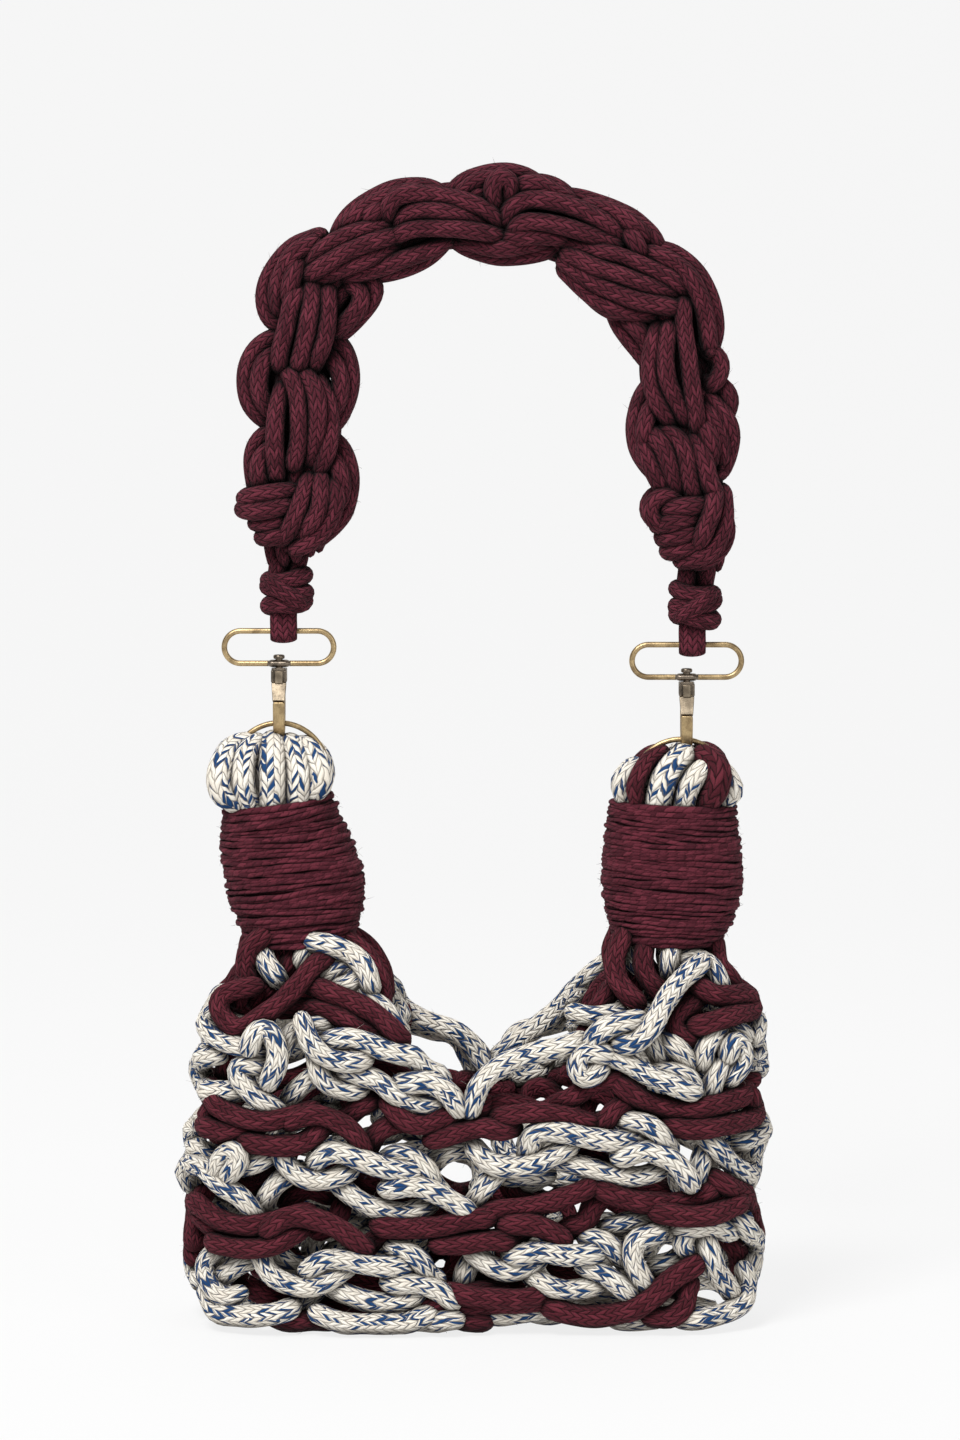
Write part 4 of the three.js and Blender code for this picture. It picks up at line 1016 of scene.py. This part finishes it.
# Crowns: cords folded over the ring. Each is (radius, depth, pixels from the wrap up to the top).
CROWN_LEFT = [
    (5.2, 0.0, [(240, 818), (232, 806), (221, 790), (219, 776), (225, 760), (236, 749), (249, 745)]),
    (5.0, -0.1, [(250, 818), (247, 802), (243, 780), (244, 763), (250, 750), (257, 745)]),
    (5.6, -0.2, [(272, 818), (273, 800), (273, 778), (273, 757), (273, 747), (273, 743)]),
    (5.2, -0.1, [(297, 815), (299, 798), (299, 778), (297, 760), (293, 750), (288, 745)]),
    (5.1, 0.0, [(318, 812), (321, 798), (321, 779), (317, 763), (309, 753), (300, 748)]),
    (4.4, 0.6, [(236, 812), (229, 780), (237, 762), (250, 752)]),
    (4.4, 0.5, [(258, 812), (256, 780), (259, 760), (263, 752)]),
    (4.4, 0.5, [(286, 812), (286, 780), (284, 760), (280, 752)]),
    (4.4, 0.6, [(309, 812), (310, 780), (306, 762), (296, 754)]),
]
CROWN_RIGHT_CREAM = [
    (5.5, -0.2, [(656, 815), (659, 798), (663, 782), (671, 768), (680, 760), (685, 757)]),
    (4.5, -0.3, [(684, 815), (685, 799), (690, 785), (698, 774), (704, 769)]),
    (4.7, 0.5, [(621, 812), (620, 798), (622, 787), (628, 777), (637, 770)]),
    (4.7, 0.5, [(731, 814), (733, 800), (733, 789), (728, 780), (720, 774)]),
    (4.6, 0.9, [(640, 812), (642, 792), (650, 774), (660, 766)]),
    (4.6, 0.9, [(708, 812), (712, 792), (706, 774), (698, 766)]),
    (4.6, 0.8, [(680, 812), (684, 792), (690, 772), (690, 766)]),
]
CROWN_RIGHT_MAROON = [
    (3.7, -0.2, [(632, 813), (633, 796), (636, 782), (643, 767), (652, 758), (662, 755)]),
    (5.3, -0.3, [(709, 815), (713, 799), (718, 783), (718, 770), (711, 762), (703, 758)]),
]


def crown_run(z_low, z_top, depth, pixels):
    """A crown's cord, from inside the wrap up over the top and down the back."""
    points = []
    for px, py in pixels:
        y = -12.0
        for _ in range(4):
            z = seen_at(px, py, y)[2]
            share = min(max((z - z_low) / (z_top - z_low), 0), 1)
            bulge = 9.5 + 5 * smooth(z_low, z_low + 11, z)
            y = -bulge * math.sqrt(1 - share ** 2.4) + depth * 8
        points.append(seen_at(px, py, min(y, -1.0)))
    top = points[-1] * [1, 0, 1] - [0, 0, 1.2]
    points = [points[0] - [0, -1.5, 8]] + points
    return resample(points + [top] + [p * [1, -1, 1] for p in points[::-1]], 2.0)


def tuck(run, radius, side):
    """Bring a crown's cord inside the wrap where the wrap begins."""
    row, left, right, tilt = WRAPS[side][-1]
    a, c = seen_at(left, row), seen_at(right, row)
    middle, half = (a[0] + c[0]) / 2, (c[0] - a[0]) / 2 - radius - 1.0
    out = run.copy()
    for p in out:
        edge = a[2] + (p[0] - middle) * math.tan(math.radians(tilt))
        share = 1 - smooth(edge + 1, edge + 9, p[2])
        past = math.hypot((p[0] - middle) / half, p[1] / (19.0 - radius))
        if past > 1:
            fit = 1 + (1 / past - 1) * share
            p[0] = middle + (p[0] - middle) * fit
            p[1] *= fit
    return out


def make_crown(side, z_top, sets):
    """The crown of one side, a piece for each colour; z_low is where its cords leave the wrap."""
    z_low = 208
    parts = [(name, radius, crown_run(z_low, z_top, depth, pixels))
             for name, _, cords in sets for radius, depth, pixels in cords]
    laid = settle([run for _, _, run in parts], CROWN_CORD, rounds=8, keep=0.3, hold=0.25)
    laid = [tuck(run, radius, side) for run, (_, radius, _) in zip(laid, parts)]
    for name, cord, _ in sets:
        skein = Skein()
        for (owner, radius, _), run in zip(parts, laid):
            if owner == name:
                skein.sweep(run, radius, sides=20, wales=6, course=3.6, start_turn=chance.uniform(0, 6))
        stands_for = []
        if cord is CREAM_CORD:
            x = {'left': -80.5, 'right': 80.5}[side]
            core = [(x, 0, z) for z in (180, 195, 210, z_top - 13)]
            skein.sweep(resample(core, 4), 17, sides=20, wales=24, course=3.0, flat=(0.85, 0.7), up=(0, 1, 0))
            stands_for = ['bunch_' + side]
        skein.make(name, *cord, stands_for=stands_for)


# Metal: where each side's ring, hook, collar top, cord loop, knot and cords to the strap lie
SIDES = {
    'left': dict(ring=(-77.9, 221.76), hook=-77.9, top=262.92, loop=-76.0, knot=-74.8, tail=-73.0, end=309, sign=1),
    'right': dict(ring=(82.8, 215.16), hook=85.0, top=257.42, loop=87.2, knot=88.2, tail=89.2, end=307, sign=-1),
}
UPRIGHT = dict(wales=1, up=(0, 1, 0))    # how a wire that lies in the plane of the picture is swept
RING, RING_WIRE = 19.1, 1.1              # radius of the O-ring along its wire, and of the wire
OVAL_BAR = 1.8                           # the oval's lower bar above the collar's top
OVAL_WIRE, OVAL_END, OVAL_HALF = 1.15, 6.5, 23    # radius of its wire and of its ends, and half its length
BOSS = 4.6                               # half length of the boss that the hook turns in


def make_ring(side):
    x, z = SIDES[side]['ring']
    path = [(x + RING * math.cos(q), 0, z + RING * math.sin(q)) for q in round_angles(120)]
    Skein().sweep(path, RING_WIRE, sides=16, closed=True, **UPRIGHT).make(
        'o_ring_' + side, *BRIGHT, stands_for=['ring_' + side])


def make_oval(side):
    x, bar = SIDES[side]['hook'], SIDES[side]['top'] + OVAL_BAR
    straight = OVAL_HALF - OVAL_WIRE - OVAL_END
    path = []
    for sign, level in ((1, 2 * OVAL_END), (-1, 0)):
        for q in np.linspace(-math.pi / 2, math.pi / 2, 22):
            path.append((x + sign * (straight + OVAL_END * math.cos(q)), 0,
                         bar + OVAL_END + sign * OVAL_END * math.sin(q)))
        path += [(x + straight * t * sign, 0, bar + level) for t in np.linspace(1, -1, 14)[1:-1]]
    Skein().sweep(path, OVAL_WIRE, sides=14, closed=True, **UPRIGHT).make(
        'oval_loop_' + side, *BRIGHT, stands_for=['oval_' + side])
    boss = Skein()
    along = np.linspace(-BOSS, BOSS, 17)
    swell = [0.62 + 0.38 * smooth(0, 1.6, BOSS - abs(t)) for t in along]
    boss.sweep([(x + t, 0, bar) for t in along], 2.0, sides=20, flat=(0.76, 1.25), pinch=swell, ends=False, **UPRIGHT)
    for t in (-BOSS, BOSS):
        boss.sweep([(x + t * s, 0, bar) for s in (0.96, 1.0, 1.03)], 1.3, sides=20, **UPRIGHT)
    boss.make('swivel_boss_' + side, *DARKENED)


def make_plate(name, outline, width, x, top, material, body, bevel, taper=None, stands_for=()):
    """A plate cut to an outline seen from the side, (y, z) under the collar's top, with softened edges."""
    verts, n = [], len(outline)
    for sign in (-0.5, 0.5):
        for y, z in outline:
            w = width if taper is None else float(np.interp(z, taper[0], taper[1]))
            verts.append(((x + sign * w) * MM, y * MM, (top + z) * MM))
    faces = [list(range(n)), list(range(2 * n - 1, n - 1, -1))]
    faces += [[(i + 1) % n, i, n + i, n + (i + 1) % n] for i in range(n)]
    mesh = bpy.data.meshes.new(name)
    mesh.from_pydata(verts, [], faces)
    mesh.update()
    shape = bmesh.new()
    shape.from_mesh(mesh)
    bmesh.ops.recalc_face_normals(shape, faces=shape.faces)
    shape.to_mesh(mesh)
    shape.free()
    mesh.polygons.foreach_set('use_smooth', [True] * len(mesh.polygons))
    piece = add_piece(name, mesh, material, body, stands_for)
    soften = piece.modifiers.new('edge', 'BEVEL')
    soften.width, soften.segments, soften.limit_method = bevel * MM, 3, 'ANGLE'
    soften.angle_limit = math.radians(40)
    even = piece.modifiers.new('shade', 'WEIGHTED_NORMAL')
    even.keep_sharp = True


def make_hook(side):
    x, top = SIDES[side]['hook'], SIDES[side]['top']
    body = 'hook_' + side
    outer = [(3.2, -3.5), (3.6, -5.3), (6.4, -8.2), (7.9, -13.6), (7.5, -19.8), (5.2, -25.2), (0.6, -28.7),
             (-3.7, -27.1), (-6.3, -22.8), (-7.05, -17.9), (-6.95, -13.05)]
    inner = [(-3.9, -14.3), (-3.5, -19.0), (-3.0, -23.0), (-1.6, -25.2), (1.8, -25.3), (3.3, -23.0), (4.1, -18.4),
             (4.1, -13.2), (2.8, -9.6), (0.4, -7.7), (-0.6, -6.7), (-0.6, -3.5)]
    ear = [(-3.4, -0.9), (3.3, -0.1), (3.5, -5.4), (-3.6, -5.6)]
    collar = [(-2.7, 0), (3.2, 0), (3.6, -5.3), (-2.7, -5.3)]
    tongue = [(-3.3, -1.2), (-2.0, -1.0), (-2.0, -6.0), (-4.0, -6.0)]
    make_plate('hook_curve_' + side, outer + inner, 4.6, x, top, BRASS, body, 0.7,
               taper=((-28.8, -14, -5), (4.5, 4.7, 4.6)), stands_for=['hook_' + side])
    make_plate('collar_ear_l_' + side, ear, 1.1, x - 2.6, top, DARK_BRASS, body, 0.3)
    make_plate('collar_ear_r_' + side, ear, 1.1, x + 2.6, top, DARK_BRASS, body, 0.3)
    make_plate('collar_' + side, collar, 5.2, x, top, DARK_BRASS, body, 0.35)
    make_plate('collar_tongue_' + side, tongue, 3.1, x, top, PEWTER, body, 0.25)
    post = Skein()
    post.sweep([(x, 0, top + t) for t in np.linspace(-0.5, 4.2, 8)], 1.45, sides=20, ends=False, **UPRIGHT)
    turned = [(0.5, 3.62), (1.9, 3.66), (2.25, 3.9), (2.3, 4.5), (2.2, 5.0), (1.8, 5.3), (0.9, 5.4), (0.05, 5.41)]
    post.sweep([(x, 0, top + z) for _, z in turned], 1.0, sides=24, pinch=[r for r, _ in turned], ends=False,
               **UPRIGHT)
    post.make('swivel_post_' + side, *DARKENED, body=body)


def make_gate(side):
    x, top = SIDES[side]['hook'], SIDES[side]['top']
    blade = [(-1.2, -6.3), (-2.2, -5.6), (-3.4, -5.75), (-4.1, -7.6), (-5.3, -10.2), (-6.5, -12.62), (-5.25, -13.35),
             (-3.85, -13.8), (-2.3, -10.5), (-1.0, -7.6)]
    make_plate('gate_blade_' + side, blade, 5.4, x, top, PEWTER, 'gate_' + side, 0.3,
               taper=((-14, -6), (4.7, 6.0)), stands_for=['gate_' + side])


# Strap and its ends

def make_strap():
    """The chain: bundles that arch out of the strap and dive at their ends, the same in front and behind."""
    middle_line = [(-70.8, 306), (-70.8, 332), (-71, 375), (-59.6, 412), (-30.4, 438), (11.2, 443), (49.6, 431),
                   (76, 404), (84, 366), (87, 327), (88, 306)]
    line = resample([(x, 0, z) for x, z in middle_line], 2.0)
    runs = []
    for depth, *flat in STRAP:
        pixels, points = pixels_of(flat), []
        for i, (px, py) in enumerate(pixels):
            rise = math.sin(math.pi * (i + 0.15) / (len(pixels) - 0.7)) ** 0.6
            p = seen_at(px, py, -3.5 - 9.5 * rise + 10 * depth * (0.4 + 0.6 * rise))
            near = line[np.argmin(np.hypot(line[:, 0] - p[0], line[:, 2] - p[2]))]
            points.append(p + unit((near - p) * [1, 0, 1]) * 2.8 * smooth(0.3, 0.9, depth))
        run = resample(dive(points, 3, 4.5), 2.0)
        runs += [run, run * [1, -1, 1]]
    # Cords that fill the strap inside, each at its depth and that far out from the middle line
    middle = np.array([8.0, 0, 340])
    for y, out in ((-4.5, 0), (4.5, 0), (0, -9.5), (0, 9.5), (-3, -6), (3, -6), (-3, 5), (3, 5)):
        points = [np.array([x, y, z], float) for x, z in middle_line]
        runs.append(resample([p + unit(p * [1, 0, 1] - middle) * out for p in points], 3.0))
    skein = Skein()
    for run in settle(runs, STRAP_CORD, rounds=14, keep=0.45, hold=0.3):
        skein.sweep(run, STRAP_CORD * chance.uniform(0.94, 1.04), wales=7, course=3.4, start_turn=chance.uniform(0, 6))
    skein.fluff(2600).make('strap_chain', *STRAP_KNIT, stands_for=['strap'])


def make_strap_end(side):
    """The cord's loop over the oval, the small knot in three turns and one across, and two cords to the strap."""
    place = SIDES[side]
    x, kx, tx, s = place['loop'], place['knot'], place['tail'], place['sign']
    bar = place['top'] + OVAL_BAR + 2 * OVAL_END
    low = bar + 7.5
    skein = Skein()
    loop = [(kx, -2.6, bar + 13), (x, -3.0, bar + 7), (x, -3.1, bar + 1.2), (x, -2.3, bar - 2.2), (x, 0, bar - 3.25),
            (x, 2.3, bar - 2.2), (x, 3.1, bar + 1.2), (x, 3.0, bar + 7), (kx, 2.6, bar + 13)]
    skein.sweep(resample(loop, 1.6), 5.4, sides=18, wales=8, up=(0.999, 0.0, 0.02), flat=(0.32, 1.0))
    for i, (lift, tilt, wide) in enumerate(((3.6, 8, 7.0), (8.6, -10, 7.4), (13.2, 9, 7.0))):
        slope = math.tan(math.radians(tilt * s))
        points = [(kx + wide * math.cos(q), 5.4 * math.sin(q), low + lift + wide * math.cos(q) * slope
                   + 0.7 * math.sin(2 * q + i)) for q in round_angles(20)]
        skein.sweep(resample(points, 2.0, closed=True), 3.8, wales=8, closed=True)
    across = [(kx + 8 * s, -4, low + 3), (kx + 3 * s, -7.2, low + 6), (kx - 3 * s, -7.4, low + 10),
              (kx - 8 * s, -4, low + 14)]
    skein.sweep(resample(across, 2.0), 3.6, wales=8)
    for k in (-1, 1):
        cord = [(kx + 3.4 * k, 0, low + 4), (kx + 3.6 * k, 0.6 * k, low + 16), (tx + 3.8 * k, -0.6 * k, low + 24),
                (tx + 4 * k, 0, place['end'] + 4)]
        skein.sweep(resample(cord, 2.0), 3.9, wales=8)
    skein.make('strap_end_knot_' + side, *STRAP_KNIT, stands_for=['strap_end_' + side])


make_net()
for side in SIDES:
    for make in (make_wrap, make_ring, make_oval, make_hook, make_gate, make_strap_end):
        make(side)
make_crown('left', 230.5, [('crown_left_cream', CREAM_CORD, CROWN_LEFT)])
make_crown('right', 228.5, [('crown_right_cream', CREAM_CORD, CROWN_RIGHT_CREAM),
                            ('crown_right_maroon', MAROON_CORD, CROWN_RIGHT_MAROON)])
make_strap()


# Floor, light and camera

def make_studio():
    """A pale paper sweep, three soft lights and the camera that took the picture."""
    material, b, shader = start_material('pale_paper')
    b.feed(shader.inputs['Base Color'], b.mix(b.noise(3.0, 2.0), rgb(97, 97, 97), rgb(99, 99, 99)))
    shader.inputs['Emission Color'].default_value = (1.0, 1.0, 1.0, 1.0)
    shader.inputs['Emission Strength'].default_value = 0.812
    shader.inputs['Roughness'].default_value = 0.95
    shader.inputs['Specular IOR Level'].default_value = 0.05
    bend = 1.2    # metres behind the bag where the paper starts to curve up, and the curve's radius
    profile = [(-3.0, 0.0), (bend, 0.0)]
    profile += [(bend + bend * math.sin(q), bend - bend * math.cos(q)) for q in np.linspace(0.08, math.pi / 2, 16)]
    profile += [(2 * bend, 4.0)]
    verts = [(x, y, z - 0.0001) for y, z in profile for x in (-4.0, 4.0)]
    faces = [(2 * i, 2 * i + 1, 2 * i + 3, 2 * i + 2) for i in range(len(profile) - 1)]
    mesh = bpy.data.meshes.new('paper_sweep')
    mesh.from_pydata(verts, [], faces)
    mesh.polygons.foreach_set('use_smooth', [True] * len(mesh.polygons))
    mesh.materials.append(material)
    sweep = bpy.data.objects.new('paper_sweep', mesh)
    bpy.context.collection.objects.link(sweep)

    world = bpy.data.worlds.new('studio')
    bpy.context.scene.world = world
    world.use_nodes = True
    back = world.node_tree.nodes['Background']
    back.inputs['Color'].default_value = (1.0, 1.0, 1.0, 1.0)
    back.inputs['Strength'].default_value = 0.22
    for name, place, energy, size in (('key', (-0.8, -1.6, 2.2), 78, 1.0), ('fill', (1.6, -1.8, 0.9), 13, 1.3),
                                      ('top', (0.1, 0.1, 2.3), 8, 1.2)):
        light = bpy.data.lights.new(name, 'AREA')
        light.energy, light.size = energy, size
        lamp = bpy.data.objects.new(name, light)
        lamp.location = place
        lamp.rotation_euler = (Vector((0.0, 0.0, 0.2)) - Vector(place)).to_track_quat('-Z', 'Y').to_euler()
        bpy.context.collection.objects.link(lamp)

    lens = bpy.data.cameras.new('camera')
    lens.sensor_fit, lens.sensor_height = 'VERTICAL', 24
    lens.lens = 24 * FAR / (2 * MIDDLE[1] * PIXEL)
    lens.clip_end = 50
    camera = bpy.data.objects.new('camera', lens)
    camera.location = (LOOK[0] * MM, (LOOK[1] - FAR * COS) * MM, (LOOK[2] + FAR * SIN) * MM)
    camera.rotation_euler = (math.pi / 2 - TILT, 0, 0)
    bpy.context.collection.objects.link(camera)
    bpy.context.scene.camera = camera
    bpy.context.scene.view_settings.view_transform = 'Standard'


make_studio()
